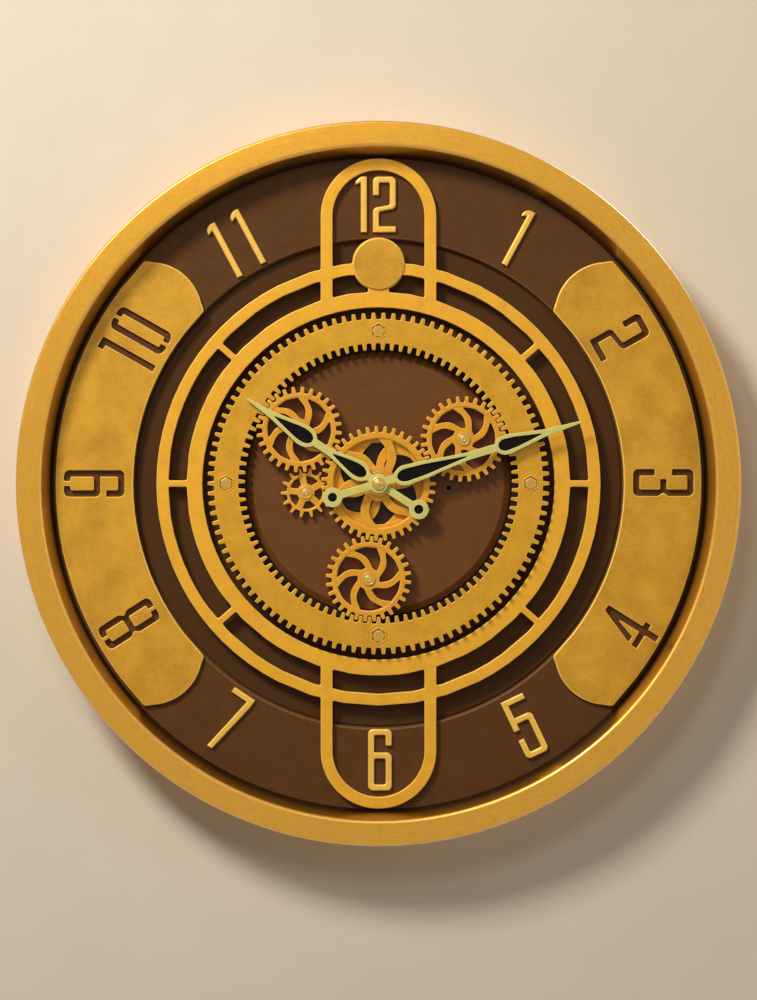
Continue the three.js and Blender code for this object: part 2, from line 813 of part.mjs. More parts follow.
function figureSix(width, height, loop, hook) {
  return {
    width,
    height,
    outline: [
      [0, 0, figureRound], [width, 0, figureRound], [width, loop, figureRound], [stroke, loop, 0],
      [stroke, height - stroke, counterRound], [width - stroke, height - stroke, counterRound],
      [width - stroke, height - hook, 0], [width, height - hook, 0], [width, height, figureRound],
      [0, height, figureRound],
    ],
    holes: [box2d(stroke, stroke, width - stroke, loop - stroke, counterRound)],
  };
}

const figureSeven = (width, height) => ({
  width,
  height,
  outline: [
    [0, height - stroke, 0], [width - stroke, height - stroke, 0], [width * 0.38, 0, 0],
    [width * 0.63, 0, 0], [width, height * 0.865, 0], [width, height, 0], [0, height, 0],
  ],
  holes: [],
});

// Gaps left in a stencilled figure's top and foot, so that its islands stay held.
function middleBridges(width, height, half) {
  const left = width / 2 - half;
  const right = width / 2 + half;
  return {
    top: [left, height - stroke - bridgeOver, right, height + bridgeOver],
    foot: [left, -bridgeOver, right, stroke + bridgeOver],
  };
}

function figureEight(width, height) {
  const middle = height / 2;
  const half = stroke / 2;
  const right = waist(width, middle);
  const left = right.map(([x, y, radius]) => [width - x, y, radius]).reverse();
  const { top, foot } = middleBridges(width, height, bridgeWidth / 2);
  return {
    width,
    height,
    outline: [
      [0, 0, figureRound], [width, 0, figureRound], ...right,
      [width, height, figureRound], [0, height, figureRound], ...left,
    ],
    holes: [
      box2d(stroke, stroke, width - stroke, middle - half, counterRound),
      box2d(stroke, middle + half, width - stroke, height - stroke, counterRound),
    ],
    bridges: [top, foot],
  };
}

function figureZero(width, height) {
  const { top, foot } = middleBridges(width, height, bridgeWidth / 2);
  return {
    width,
    height,
    outline: box2d(0, 0, width, height, figureRound + counterRound),
    holes: [box2d(stroke, stroke, width - stroke, height - stroke, counterRound)],
    bridges: [top, foot],
  };
}

// A nine is a six turned upside down; its island hangs on one wide bridge at the outer end.
function figureNine(width, height) {
  const six = figureSix(width, height, height * 0.6, height * 0.3);
  const flip = (corners) => corners.map(([x, y, radius]) => [width - x, height - y, radius]);
  const { top } = middleBridges(width, height, bridgeWidth * 0.73);
  return {
    width,
    height,
    outline: flip(six.outline),
    holes: six.holes.map(flip),
    bridges: [top],
  };
}

// A figure as a solid between two levels, centred on (x, y) and turned by right degrees.
function figureSolid(figure, back, front, [x, y], right) {
  const holes = figure.holes.map((hole) => rounded(hole));
  const shape = plate(rounded(figure.outline), back, front, holes);
  const bridges = (figure.bridges ?? []).map(([x0, y0, x1, y1]) =>
    block(x0, x1, y0, y1, back - 1, front + 1));
  return cut(shape, bridges)
    .translate([-figure.width / 2, -figure.height / 2, 0])
    .rotate([0, 0, right])
    .translate([x, y, 0]);
}

// Place of a figure: its offset outwards from the numerals' circle, and its angle.
const onCircle = (offset, angle) => polar(numeralCircle + offset, angle);

// Raised numerals: [name, figure, place, direction of the figure's right side].
function raisedNumerals() {
  const one = figureOne(figureHeight);
  const eleven = onCircle(-3.1, 120.9);
  const [sx, sy] = polar(oneSpacing / 2, 30);
  const twelve = numeralCircle - 2.7;
  const twelveTen = [-figureWidth * 0.7, twelve];
  const twelveUnit = [figureWidth * 0.238, twelve];
  return [
    ['numeral_12_ten', figureOne(shortFigureHeight), twelveTen, 0],
    ['numeral_12_unit', figureTwo(figureWidth * 0.94, shortFigureHeight), twelveUnit, 0],
    ['numeral_1', one, onCircle(0, 60.8), -28.5],
    ['numeral_5', figureFive(figureWidth, figureHeight * 1.045), onCircle(1, -58.9), 25.5],
    ['numeral_6', figureSix(figureWidth * 0.97, figureHeight * 1.024, figureHeight * 0.635,
      figureHeight * 0.278), onCircle(-5.1, -89.7), 0],
    ['numeral_7', figureSeven(figureWidth, figureHeight * 1.07), onCircle(-1.1, -122.6), -33.8],
    ['numeral_11_ten', one, [eleven[0] - sx, eleven[1] - sy], 28],
    ['numeral_11_unit', one, [eleven[0] + sx, eleven[1] + sy], 28],
  ];
}

// A panel with its figures cut through: each is [figure, place, direction of its right side].
function stencilled(turn, figures) {
  const back = plateBack - 1;
  const front = plateBack + panelThickness + 1;
  return cut(panelBlank(turn), figures.map(([figure, place, right]) =>
    figureSolid(figure, back, front, place, right)));
}

function leftPanel() {
  return stencilled(180, [
    [figureEight(figureWidth * 1.02, figureHeight * 1.01), onCircle(3, 209.3), -57.6],
    [figureNine(figureWidth * 1.07, figureHeight), onCircle(1.5, 180), 90],
    [figureZero(figureWidth, figureHeight), onCircle(-0.1, 147.2), 60.5],
    [figureBlockOne(figureHeight), onCircle(-0.2, 153.2), 60.5],
  ]);
}

function rightPanel() {
  return stencilled(0, [
    [figureTwo(figureWidth, figureHeight * 0.942), onCircle(0, 31.2), -60.4],
    [figureThree(figureWidth * 1.087, figureHeight), onCircle(2, 0.2), -90],
    [figureFour(figureWidth * 1.1, figureHeight * 0.988), onCircle(5.9, -29.9), 58],
  ]);
}

// A gear: toothed plate with a bore and openings between its curved spokes.
function gear({ teeth, tip, root, phase, shares, openings, bore, back, front, x, y }) {
  const outline = moved(toothedOutline(teeth, tip, root, phase, shares), x, y);
  const holes = openings.map((opening) => moved(opening, x, y));
  return plate(outline, back, front, [...holes, circle(bore, smallSides, x, y)]);
}

// Angle of a spoke's middle line at a radius, for each kind of gear.
function sunLead(radius) {
  const out = radius / sunHubRadius - sunSpokeTurnFrom;
  return sunSpokeStart + sunSpokeSweep * out + sunSpokeCurl * out ** 2;
}

const rearSunLead = (radius) => rearSunSpokeStart - rearSunSpokeSweep * (radius / sunHubRadius - 1);
const planetLead = (radius) => planetSpokeSweep * (radius / planetHubRadius - 1);
const idlerLead = () => idlerSpokeStart;

function frontSunGear() {
  const tip = pitchRadius(sunTeeth) + sunAddendum;
  return gear({
    teeth: sunTeeth,
    tip,
    root: tip - sunToothDepth,
    phase: sunPhase,
    openings: webOpenings(spokeCount, sunHubRadius, sunOpeningRadius, sunSpokeWidth, sunLead, 0),
    bore: sleeveRadius + runningGap,
    back: frontLayerBack,
    front: gearFront,
    x: 0,
    y: 0,
  });
}

function rearSunGear() {
  return gear({
    teeth: rearSunTeeth,
    tip: rearSunTip,
    root: rearSunTip - rearSunToothDepth,
    phase: rearSunPhase,
    openings: webOpenings(spokeCount, sunHubRadius, rearSunOpeningRadius, sunSpokeWidth,
      rearSunLead, 0),
    bore: sleeveRadius + runningGap,
    back: gearBack,
    front: rearLayerTop,
    x: 0,
    y: 0,
  });
}

function planetGear(index) {
  const [x, y] = planetCentres[index];
  const tip = pitchRadius(planetTeeth) + planetAddendum;
  const phase = planetPhases[index];
  return gear({
    teeth: planetTeeth,
    tip,
    root: tip - planetToothDepth,
    phase,
    openings: webOpenings(spokeCount, planetHubRadius, planetOpeningRadius, planetSpokeWidth,
      planetLead, phase),
    bore: axleRadius + runningGap,
    back: gearBack,
    front: gearFront,
    x,
    y,
  });
}

function idlerGear() {
  return gear({
    teeth: idlerTeeth,
    tip: idlerTip,
    root: idlerTip - idlerToothDepth,
    phase: idlerPhase,
    shares: [idlerRootShare, idlerTipShare],
    openings: webOpenings(idlerOpenings, idlerHubRadius, idlerOpeningRadius, idlerSpokeWidth,
      idlerLead, 0),
    bore: idlerAxleRadius + runningGap,
    back: gearBack,
    front: rearLayerTop,
    x: idlerX,
    y: idlerY,
  });
}

function ringGear() {
  const inner = toothedOutline(ringTeeth, ringInnerTip, ringInnerRoot, ringPhase);
  const outer = toothedOutline(ringOuterTeeth, ringOuterTip, ringOuterRoot, 0);
  const shanks = ringBoltPlaces.map(([x, y]) => circle(boltShankRadius + seatGap, pinSides, x, y));
  const body = plate(outer, ringBack, gearFront, [inner, ...shanks]);
  const recesses = ringBoltPlaces.map(([x, y]) =>
    plate(hexagon(hexRecessAcross, x, y, 30), gearFront - hexRecessDepth, gearFront + 1));
  return cut(body, recesses);
}

function ringBolt([x, y]) {
  const seat = gearFront - hexRecessDepth + seatGap;
  const head = plate(hexagon(hexHeadAcross, x, y, 30), seat, seat + hexHeadHeight);
  return head.add(rod(boltShankRadius, ringBack - boltReach, seat + hexHeadHeight / 2, x, y, pinSides));
}

// Guide hoop under the drum's edge, with a threaded post up to the ring gear at each bolt.
function ringGuideHoop() {
  const back = (drumBack + drumUnderside - hoopThickness) / 2;
  const inner = drumNeck + hoopNeckGap;
  const outer = ringPostCircle + hoopPostRadius + hoopPostRim;
  const posts = ringBoltPlaces.map(([x, y]) =>
    rod(hoopPostRadius, back + hoopThickness / 4, ringBack - seatGap, x, y, pinSides));
  const threads = ringBoltPlaces.map(([x, y]) =>
    rod(boltShankRadius + seatGap, ringBack - boltReach - seatGap, ringBack + 1, x, y, pinSides));
  return cut(joined([washer(inner, outer, back, back + hoopThickness, mediumSides), ...posts]), threads);
}

// Fixed axle of a planet: a pin through the drum with a collar and a tapped end.
function axle(radius, top, [x, y]) {
  const blind = screwShankRadius + seatGap;
  const collar = axleCollarRadius * (radius / axleRadius);
  return turned([
    [0, drumBack + axleFoot],
    [radius, drumBack + axleFoot],
    [radius, drumFront + seatGap],
    [collar, drumFront + seatGap],
    [collar, collarTop],
    [radius, collarTop],
    [radius, top],
    [blind, top],
    [blind, top - screwShankLength],
    [0, top - screwShankLength],
  ], pinSides, x, y);
}

function motorShaft() {
  const [x, y] = planetCentres[2];
  const blind = screwShankRadius + seatGap;
  const foot = movementFront - shaftFoot;
  return turned([
    [0, foot],
    [axleRadius, foot],
    [axleRadius, gearFront],
    [blind, gearFront],
    [blind, gearFront - screwShankLength],
    [0, gearFront - screwShankLength],
  ], pinSides, x, y);
}

// Screw and washer in one: the washer covers the gear's bore, the shank enters the axle.
function gearScrew(seat, [x, y]) {
  const back = seat + seatGap;
  const tip = back - screwShankLength + layerGap;
  return turned([
    [0, tip],
    [screwShankRadius, tip],
    [screwShankRadius, back],
    [washerRadius, back],
    [washerRadius, back + washerThickness],
    [screwHeadRadius, back + washerThickness],
    [screwHeadRadius, back + washerThickness + screwHeadHeight],
    [0, back + washerThickness + screwHeadHeight],
  ], pinSides, x, y);
}

function sunSleeve() {
  const back = drumFront + seatGap;
  const top = gearFront + seatGap + retainerThickness;
  return turned([
    [sleeveBore, back],
    [sleeveFlangeRadius, back],
    [sleeveFlangeRadius, back + sleeveFlange],
    [sleeveRadius, back + sleeveFlange],
    [sleeveRadius, top],
    [sleeveBore, top],
  ], smallSides);
}

function sunRetainer() {
  const back = gearFront + seatGap;
  return washer(sleeveRadius + seatGap, retainerRadius, back, back + retainerThickness, smallSides);
}

// Hands. Each outline runs along +x from the hub; its lobes are shares of the hand's length.
const HOUR_HAND = {
  length: hourHandLength,
  angle: hourHandAngle,
  lobes: [
    { start: 0.096, end: 0.347, wide: 0.158, half: 0.039 },
    { start: 0.502, end: 0.791, wide: 0.563, half: 0.042 },
  ],
};
const MINUTE_HAND = {
  length: minuteHandLength,
  angle: minuteHandAngle,
  lobes: [
    { start: 0.093, end: 0.4375, wide: 0.139, half: 0.0295 },
    { start: 0.591, end: 0.804, wide: 0.628, half: 0.028 },
  ],
};

// The lobes of a hand in real sizes.
const lobesOf = (hand) => hand.lobes.map(({ start, end, wide, half }) => ({
  start: start * hand.length,
  end: end * hand.length,
  wide: wide * hand.length,
  half: half * hand.length,
}));

// Teardrop: a round end at start, widest at wide, and a straight taper to a point at end.
function teardrop({ start, end, wide, half }, grow) {
  const radius = half + grow;
  const rear = wide - start + grow;
  const points = [];
  for (let i = 0; i <= 6; i += 1) {
    const angle = radians(90 + (i * 180) / 6);
    points.push([wide + Math.cos(angle) * rear, Math.sin(angle) * radius]);
  }
  const shoulder = wide + (end - wide) * 0.3;
  const taper = radius * 0.86;
  const tip = grow > 0 ? grow * 0.9 : radius * 0.07;
  points.push([shoulder, -taper], [end + grow, -tip], [end + grow, tip], [shoulder, taper]);
  return points;
}

function handFrame(hand, back, front, bore) {
  const [inner, outer] = lobesOf(hand);
  const neck = handFrameWidth;
  const spine = plate([
    [0, -neck], [outer.end, -neck], [hand.length, -handTipHalf],
    [hand.length, handTipHalf], [outer.end, neck], [0, neck],
  ], back, front);
  const tail = block(-handTailReach, 0, -handTailWidth / 2, handTailWidth / 2, back, front);
  const bodies = [
    spine,
    tail,
    rod(handHubRadius, back, front, 0, 0, 16),
    rod(handTailRing, back, front, -handTailReach),
    plate(teardrop(inner, handFrameWidth), back, front),
    plate(teardrop(outer, handFrameWidth), back, front),
  ];
  const openings = [
    plate(teardrop(inner, 0), back - 1, front + 1),
    plate(teardrop(outer, 0), back - 1, front + 1),
    rod(handTailHole, back - 1, front + 1, -handTailReach),
    rod(bore, back - 1, front + 1, 0, 0, pinSides),
  ];
  return cut(joined(bodies), openings).rotate([0, 0, hand.angle]);
}

// Thin black backing behind both openings, set in from the frame's edge.
function handBacking(hand, back) {
  const front = back + backingThickness;
  const grow = handFrameWidth - backingInset;
  const [inner, outer] = lobesOf(hand);
  const link = plate([
    [inner.wide, -grow], [outer.wide, -grow], [outer.wide, grow], [inner.wide, grow],
  ], back, front);
  const whole = joined([
    link,
    plate(teardrop(inner, grow), back, front),
    plate(teardrop(outer, grow), back, front),
  ]);
  return whole.rotate([0, 0, hand.angle]);
}

function capNut() {
  const back = minuteHandFront + seatGap;
  const bore = arborRadius + seatGap;
  const dome = [];
  const rise = capNutHeight - capNutCollar;
  for (let i = 0; i <= 4; i += 1) {
    const angle = radians((i * 90) / 4);
    dome.push([capNutRadius * Math.cos(angle), back + capNutCollar + rise * Math.sin(angle)]);
  }
  dome[4][0] = 0;
  return turned([
    [0, back + capNutHeight / 2],
    [bore, back + capNutHeight / 2],
    [bore, back],
    [capNutRadius, back],
    ...dome,
  ], smallSides);
}

function hourTube() {
  const foot = movementFront - tubeFoot;
  return washer(arborRadius + runningGap, hourTubeRadius, foot, hourHandFront + seatGap, pinSides);
}

function minuteArbor() {
  const foot = movementFront - tubeFoot;
  return rod(arborRadius, foot, minuteHandFront + capNutHeight / 2, 0, 0, pinSides);
}

function cell(x, y, back) {
  const half = cellLength / 2;
  const can = turned([
    [0, -half],
    [cellRadius, -half],
    [cellRadius, half - cellTipLength],
    [cellTipRadius, half - cellTipLength],
    [cellTipRadius, half],
    [0, half],
  ], smallSides);
  return can.rotate([0, 90, 0]).translate([x, y, back + cellRadius]);
}

const caseOutline = (width, height, x, y) =>
  moved(rounded(box2d(-width / 2, -height / 2, width / 2, height / 2, caseCorner)), x, y);

function cellBay(x, y, count, back) {
  const half = cellLength / 2 + bayClearance;
  const reach = (cellRadius + bayClearance) * 2;
  const low = y - (reach * count) / 2;
  return block(x - half, x + half, low, low + reach * count, back - 1, back + reach);
}

function movementCase() {
  const bushTop = floorFront + seatGap + bushNutHeight + 1;
  const box = plate(caseOutline(movementSize, movementSize, 0, 0), movementBack, movementFront);
  const bush = rod(bushRadius, movementFront - 1, bushTop);
  const knobBore = movementBack + knobShaftLength + seatGap;
  return cut(box.add(bush), [
    rod(hourTubeRadius + runningGap, movementFront - tubeFoot - seatGap, bushTop + 1, 0, 0, pinSides),
    cellBay(0, cellOffset, 1, movementBack),
    rod(knobShaftRadius + runningGap, movementBack - 1, knobBore, 0, knobOffset, pinSides),
  ]);
}

function bushNut() {
  const back = floorFront + seatGap;
  const thread = circle(bushRadius + seatGap, smallSides);
  return plate(hexagon(bushNutAcross), back, back + bushNutHeight, [thread]);
}

function settingKnob() {
  const front = movementBack - seatGap;
  const outline = toothedOutline(knobRidges, knobRadius, knobRadius - knobRidgeDepth, 0);
  const knob = plate(outline, front - knobHeight, front);
  const shaft = rod(knobShaftRadius, front - 1, movementBack + knobShaftLength, 0, 0, pinSides);
  return knob.add(shaft).translate([0, knobOffset, 0]);
}

function motorCase() {
  const box = plate(caseOutline(motorWidth, motorHeight, motorX, motorY), motorBack, movementFront);
  const bore = movementFront - shaftFoot - 1;
  return cut(box, [
    rod(axleRadius + runningGap, bore, movementFront + 1, ...planetCentres[2], pinSides),
    cellBay(motorX, motorCellsY(), 2, motorBack),
    switchSlot(),
  ]);
}

const motorCellsY = () =>
  motorY - motorHeight / 2 + (cellRadius + bayClearance) * 2 + motorBayMargin;

function switchSlot() {
  const x = motorX + switchOffsetX;
  const y = motorY + switchOffsetY;
  const half = switchHeight / 2 + runningGap;
  const left = x - switchWidth / 2 - runningGap;
  const right = x + switchWidth / 2 + switchTravel + runningGap;
  return block(left, right, y - half, y + half, motorBack - 1, motorBack + switchDepth + seatGap);
}

function powerSwitch() {
  const x = motorX + switchOffsetX;
  const y = motorY + switchOffsetY;
  const wide = switchWidth / 2;
  const tall = switchHeight / 2;
  return block(x - wide, x + wide, y - tall, y + tall, motorBack - switchRise, motorBack + switchDepth);
}

function hangerScrewPlaces() {
  const reach = hangerHalfWidth + hangerFoot / 2;
  return [[-reach, hangerCentre], [reach, hangerCentre]];
}

// Hat-shaped hanger bracket: feet on the dial, a plate near the wall with a keyhole.
function hangerBracket() {
  const foot = annulusBack - seatGap;
  const wide = hangerHalfWidth + hangerFoot;
  const leg = hangerHalfWidth;
  const section = [
    [-leg, hangerBack], [leg, hangerBack], [leg, foot - hangerSheet], [wide, foot - hangerSheet],
    [wide, foot], [leg - hangerSheet, foot], [leg - hangerSheet, hangerBack + hangerSheet],
    [hangerSheet - leg, hangerBack + hangerSheet], [hangerSheet - leg, foot], [-wide, foot],
    [-wide, foot - hangerSheet], [-leg, foot - hangerSheet],
  ];
  const band = plate(section, -hangerHeight / 2, hangerHeight / 2)
    .rotate([90, 0, 0])
    .translate([0, hangerCentre, 0]);
  const low = hangerCentre - keyholeRadius;
  const keyholeEnd = hangerBack + hangerSheet + 1;
  const keyhole = joined([
    rod(keyholeRadius, hangerBack - 1, keyholeEnd, 0, low, 16),
    rod(keyholeSlotRadius, hangerBack - 1, keyholeEnd, 0, low + keyholeSlotRise),
    block(-keyholeSlotRadius, keyholeSlotRadius, low, low + keyholeSlotRise, hangerBack - 1, keyholeEnd),
  ]);
  const holes = hangerScrewPlaces().map(([x, y]) =>
    rod(screwShankRadius + seatGap, foot - hangerSheet - 1, foot + 1, x, y, pinSides));
  return cut(band, [keyhole, ...holes]);
}

// Pan-head screw driven forward from behind: head at the back, shank towards the viewer.
function panScrew([x, y], seat, tip) {
  return turned([
    [0, seat - panHeadHeight],
    [panHeadRadius, seat - panHeadHeight],
    [panHeadRadius, seat],
    [screwShankRadius, seat],
    [screwShankRadius, tip],
    [0, tip],
  ], pinSides, x, y);
}

function addPart(group, name, solid, finish) {
  const material = new THREE.MeshStandardMaterial(finish);
  const mesh = new THREE.Mesh(toGeometry(solid), material);
  mesh.name = name;
  group.add(mesh);
}

function addCase(group) {
  addPart(group, 'outer_rim', outerRim(), FINISH.rimGold);
  addPart(group, 'dial_plate', dialPlate(), FINISH.dialBrown);
  addPart(group, 'gear_drum', gearDrum(), FINISH.drumBrown);
  addPart(group, 'dial_frame', frame(), FINISH.frameGold);
  addPart(group, 'badge_disc', badgeDisc(), FINISH.panelGold);
  addPart(group, 'left_panel', leftPanel(), FINISH.panelGold);
  addPart(group, 'right_panel', rightPanel(), FINISH.panelGold);
  for (const [name, figure, place, right] of raisedNumerals()) {
    const solid = figureSolid(figure, plateBack, plateBack + numeralThickness, place, right);
    addPart(group, name, solid, FINISH.numeralGold);
  }
  rimScrewPlaces.forEach((place, i) => {
    const screw = panScrew(place, annulusBack - seatGap, annulusFront + screwShankLength - 1);
    addPart(group, `rim_screw_${i + 1}`, screw, FINISH.steel);
  });
}

function addGearTrain(group) {
  addPart(group, 'ring_gear', ringGear(), FINISH.ringGold);
  addPart(group, 'ring_guide_hoop', ringGuideHoop(), FINISH.blackPlastic);
  ringBoltPlaces.forEach((place, i) => {
    addPart(group, `ring_bolt_${i + 1}`, ringBolt(place), FINISH.brass);
  });
  addPart(group, 'front_sun_gear', frontSunGear(), FINISH.gearGold);
  addPart(group, 'rear_sun_gear', rearSunGear(), FINISH.gearGold);
  planetNames.forEach((name, i) => {
    addPart(group, `planet_gear_${name}`, planetGear(i), FINISH.gearGold);
    addPart(group, `planet_screw_${name}`, gearScrew(gearFront, planetCentres[i]), FINISH.brass);
  });
  addPart(group, 'planet_axle_right', axle(axleRadius, gearFront, planetCentres[0]), FINISH.steel);
  addPart(group, 'planet_axle_left', axle(axleRadius, gearFront, planetCentres[1]), FINISH.steel);
  addPart(group, 'motor_shaft', motorShaft(), FINISH.steel);
  addPart(group, 'idler_gear', idlerGear(), FINISH.gearGold);
  addPart(group, 'idler_axle', axle(idlerAxleRadius, rearLayerTop, [idlerX, idlerY]), FINISH.steel);
  addPart(group, 'idler_screw', gearScrew(rearLayerTop, [idlerX, idlerY]), FINISH.brass);
  addPart(group, 'sun_sleeve', sunSleeve(), FINISH.brass);
  addPart(group, 'sun_retainer', sunRetainer(), FINISH.brass);
}

function addHands(group) {
  const hour = handFrame(HOUR_HAND, hourHandBack, hourHandFront, hourTubeRadius + seatGap);
  const minute = handFrame(MINUTE_HAND, minuteHandBack, minuteHandFront, arborRadius + seatGap);
  addPart(group, 'hour_hand', hour, FINISH.handGreen);
  addPart(group, 'hour_hand_backing', handBacking(HOUR_HAND, hourBackingBack), FINISH.inlayBlack);
  addPart(group, 'hour_tube', hourTube(), FINISH.steel);
  addPart(group, 'minute_hand', minute, FINISH.handGreen);
  addPart(group, 'minute_hand_backing', handBacking(MINUTE_HAND, minuteBackingBack), FINISH.inlayBlack);
  addPart(group, 'minute_arbor', minuteArbor(), FINISH.steel);
  addPart(group, 'cap_nut', capNut(), FINISH.brass);
}

function addMechanism(group) {
  const cellGap = bayClearance / 2;
  const motorCells = motorCellsY();
  const pitch = cellRadius + bayClearance;
  const upper = cell(motorX, motorCells + pitch, motorBack + cellGap);
  const lower = cell(motorX, motorCells - pitch, motorBack + cellGap);
  addPart(group, 'movement_case', movementCase(), FINISH.blackPlastic);
  addPart(group, 'bush_nut', bushNut(), FINISH.brass);
  addPart(group, 'movement_cell', cell(0, cellOffset, movementBack + cellGap), FINISH.cellWrap);
  addPart(group, 'setting_knob', settingKnob(), FINISH.greyPlastic);
  addPart(group, 'motor_case', motorCase(), FINISH.blackPlastic);
  addPart(group, 'motor_cell_upper', upper, FINISH.cellWrap);
  addPart(group, 'motor_cell_lower', lower, FINISH.cellWrap);
  addPart(group, 'power_switch', powerSwitch(), FINISH.greyPlastic);
  addPart(group, 'hanger_bracket', hangerBracket(), FINISH.steel);
  hangerScrewPlaces().forEach((place, i) => {
    const seat = annulusBack - seatGap - hangerSheet - seatGap;
    const screw = panScrew(place, seat, annulusBack + dialSheet / 2);
    addPart(group, `hanger_screw_${i + 1}`, screw, FINISH.steel);
  });
}

function build() {
  const clock = new THREE.Group();
  clock.name = 'gear_wall_clock';
  addCase(clock);
  addGearTrain(clock);
  addHands(clock);
  addMechanism(clock);
  clock.rotation.x = Math.PI / 2;
  clock.position.y = rimDepth / 2;
  return clock;
}

export default build();
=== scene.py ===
"""Looks of a round wall clock with a turning gear train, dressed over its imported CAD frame.

Sizes are in millimetres in the clock's own frame: x to the right, y up, and z from the wall to
the viewer. A level is a place along z, and an outline is a closed list of (x, y) points.
"""
import json
import logging
import math
from dataclasses import dataclass
from enum import Enum

import bmesh
import bpy
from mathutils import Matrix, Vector
from mathutils.geometry import tessellate_polygon


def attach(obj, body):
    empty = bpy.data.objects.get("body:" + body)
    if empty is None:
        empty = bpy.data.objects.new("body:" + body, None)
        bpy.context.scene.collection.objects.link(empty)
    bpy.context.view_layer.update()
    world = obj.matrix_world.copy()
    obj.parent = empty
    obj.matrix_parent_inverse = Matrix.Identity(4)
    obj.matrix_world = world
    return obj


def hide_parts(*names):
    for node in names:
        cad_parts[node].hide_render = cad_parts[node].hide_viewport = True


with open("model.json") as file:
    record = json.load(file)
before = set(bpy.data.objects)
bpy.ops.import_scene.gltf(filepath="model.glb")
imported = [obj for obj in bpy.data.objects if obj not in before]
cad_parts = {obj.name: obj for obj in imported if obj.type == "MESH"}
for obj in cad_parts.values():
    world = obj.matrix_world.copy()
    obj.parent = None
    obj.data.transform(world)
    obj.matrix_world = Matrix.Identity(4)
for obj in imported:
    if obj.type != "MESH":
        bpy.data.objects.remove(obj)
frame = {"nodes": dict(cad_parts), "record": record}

LOG = logging.getLogger("gear_clock")

MM = 0.001
WALL = 27.5
ORIGIN = (0.0, 0.0)
FULL = 360

SMOOTH_ANGLE = math.radians(36)
SHARP_TURN = math.radians(34)
STRAIGHT_TURN = math.radians(0.4)
OPENING_CORNER = 62.0
CORNER_STEPS = 4
LONG_RUN = 2.4
SHORT_SHARE = 0.47
MITRE_LIMIT = 0.35

WELD = 2e-6
SLIVER = 1e-7
SAME_LEVEL = 2e-6
NO_AREA = 1e-9

# Mesh attribute of the rounded edges, where the finishes paint a highlight.
PAINTED_HIGHLIGHT_MASK = "edge"

Point = tuple[float, float]
Spot = tuple[float, float, float]
Outline = list[Point]
Section = list[Spot]
Colour = tuple[int, int, int]
Socket = bpy.types.NodeSocket


class Slot(Enum):
    """Material slots of the record."""

    RIM = "rim_gold"
    FRAME = "frame_gold"
    PANEL = "panel_gold"
    NUMERAL = "numeral_gold"
    RING = "ring_gold"
    GEAR = "gear_gold"
    DIAL = "dial_brown"
    DRUM = "drum_brown"
    HAND = "hand_green"
    INLAY = "inlay_black"
    BRASS = "brass"
    STEEL = "steel"
    BLACK = "black_plastic"
    GREY = "grey_plastic"
    WRAP = "cell_wrap"


def polar(radius: float, degrees: float, centre: Point = ORIGIN) -> Point:
    """Point at a radius and an angle about a centre."""
    angle = math.radians(degrees)
    return centre[0] + radius * math.cos(angle), centre[1] + radius * math.sin(angle)


def circle(radius: float, steps: int, centre: Point = ORIGIN, turn: float = 0.0) -> Outline:
    """Anticlockwise circle, or a regular polygon when there are few steps."""
    return [polar(radius, turn + FULL * i / steps, centre) for i in range(steps)]


def rectangle(x0: float, x1: float, y0: float, y1: float) -> Outline:
    """Anticlockwise rectangle."""
    return [(x0, y0), (x1, y0), (x1, y1), (x0, y1)]


def box_about(centre: Point, width: float, tall: float) -> Outline:
    """Anticlockwise rectangle about a centre."""
    x, y = centre
    return rectangle(x - width / 2, x + width / 2, y - tall / 2, y + tall / 2)


def area(outline: Outline) -> float:
    """Signed area, positive when anticlockwise."""
    ahead = outline[1:] + outline[:1]
    return sum(a[0] * b[1] - b[0] * a[1] for a, b in zip(outline, ahead)) / 2


def direction(start: Point, end: Point) -> float:
    """Angle of the way from one point to another, in degrees."""
    return math.degrees(math.atan2(end[1] - start[1], end[0] - start[0]))


def turn_at(outline: Outline, i: int) -> float:
    """Signed turn of a closed outline at a point, in radians, positive to the left.

    Args:
        outline: closed outline.
        i: index of the point.

    Returns:
        The turn, from -pi to pi.
    """
    before, here, after = outline[i - 1], outline[i], outline[(i + 1) % len(outline)]
    first = math.atan2(here[1] - before[1], here[0] - before[0])
    second = math.atan2(after[1] - here[1], after[0] - here[0])
    return (second - first + math.pi) % math.tau - math.pi


def corner_arc(before: Point, here: Point, after: Point, radius: float,
               steps: int = CORNER_STEPS) -> Outline:
    """Arc that rounds a corner; it shrinks where an edge beside the corner is short.

    Args:
        before: point before the corner.
        here: the corner.
        after: point after the corner.
        radius: wanted radius.
        steps: segments of the arc.

    Returns:
        The arc's points in the order of the path.
    """
    a = Vector((before[0] - here[0], before[1] - here[1]))
    b = Vector((after[0] - here[0], after[1] - here[1]))
    half = a.angle(b) / 2
    reach = min(radius / math.tan(half), a.length * SHORT_SHARE, b.length * SHORT_SHARE)
    real = reach * math.tan(half)
    inward = (a.normalized() + b.normalized()).normalized()
    middle = Vector(here) + inward * (real / math.sin(half))
    start = Vector(here) + a.normalized() * reach - middle
    end = Vector(here) + b.normalized() * reach - middle
    first = math.atan2(start.y, start.x)
    sweep = (math.atan2(end.y, end.x) - first + math.pi) % math.tau - math.pi
    return [(middle.x + real * math.cos(first + sweep * i / steps),
             middle.y + real * math.sin(first + sweep * i / steps)) for i in range(steps + 1)]


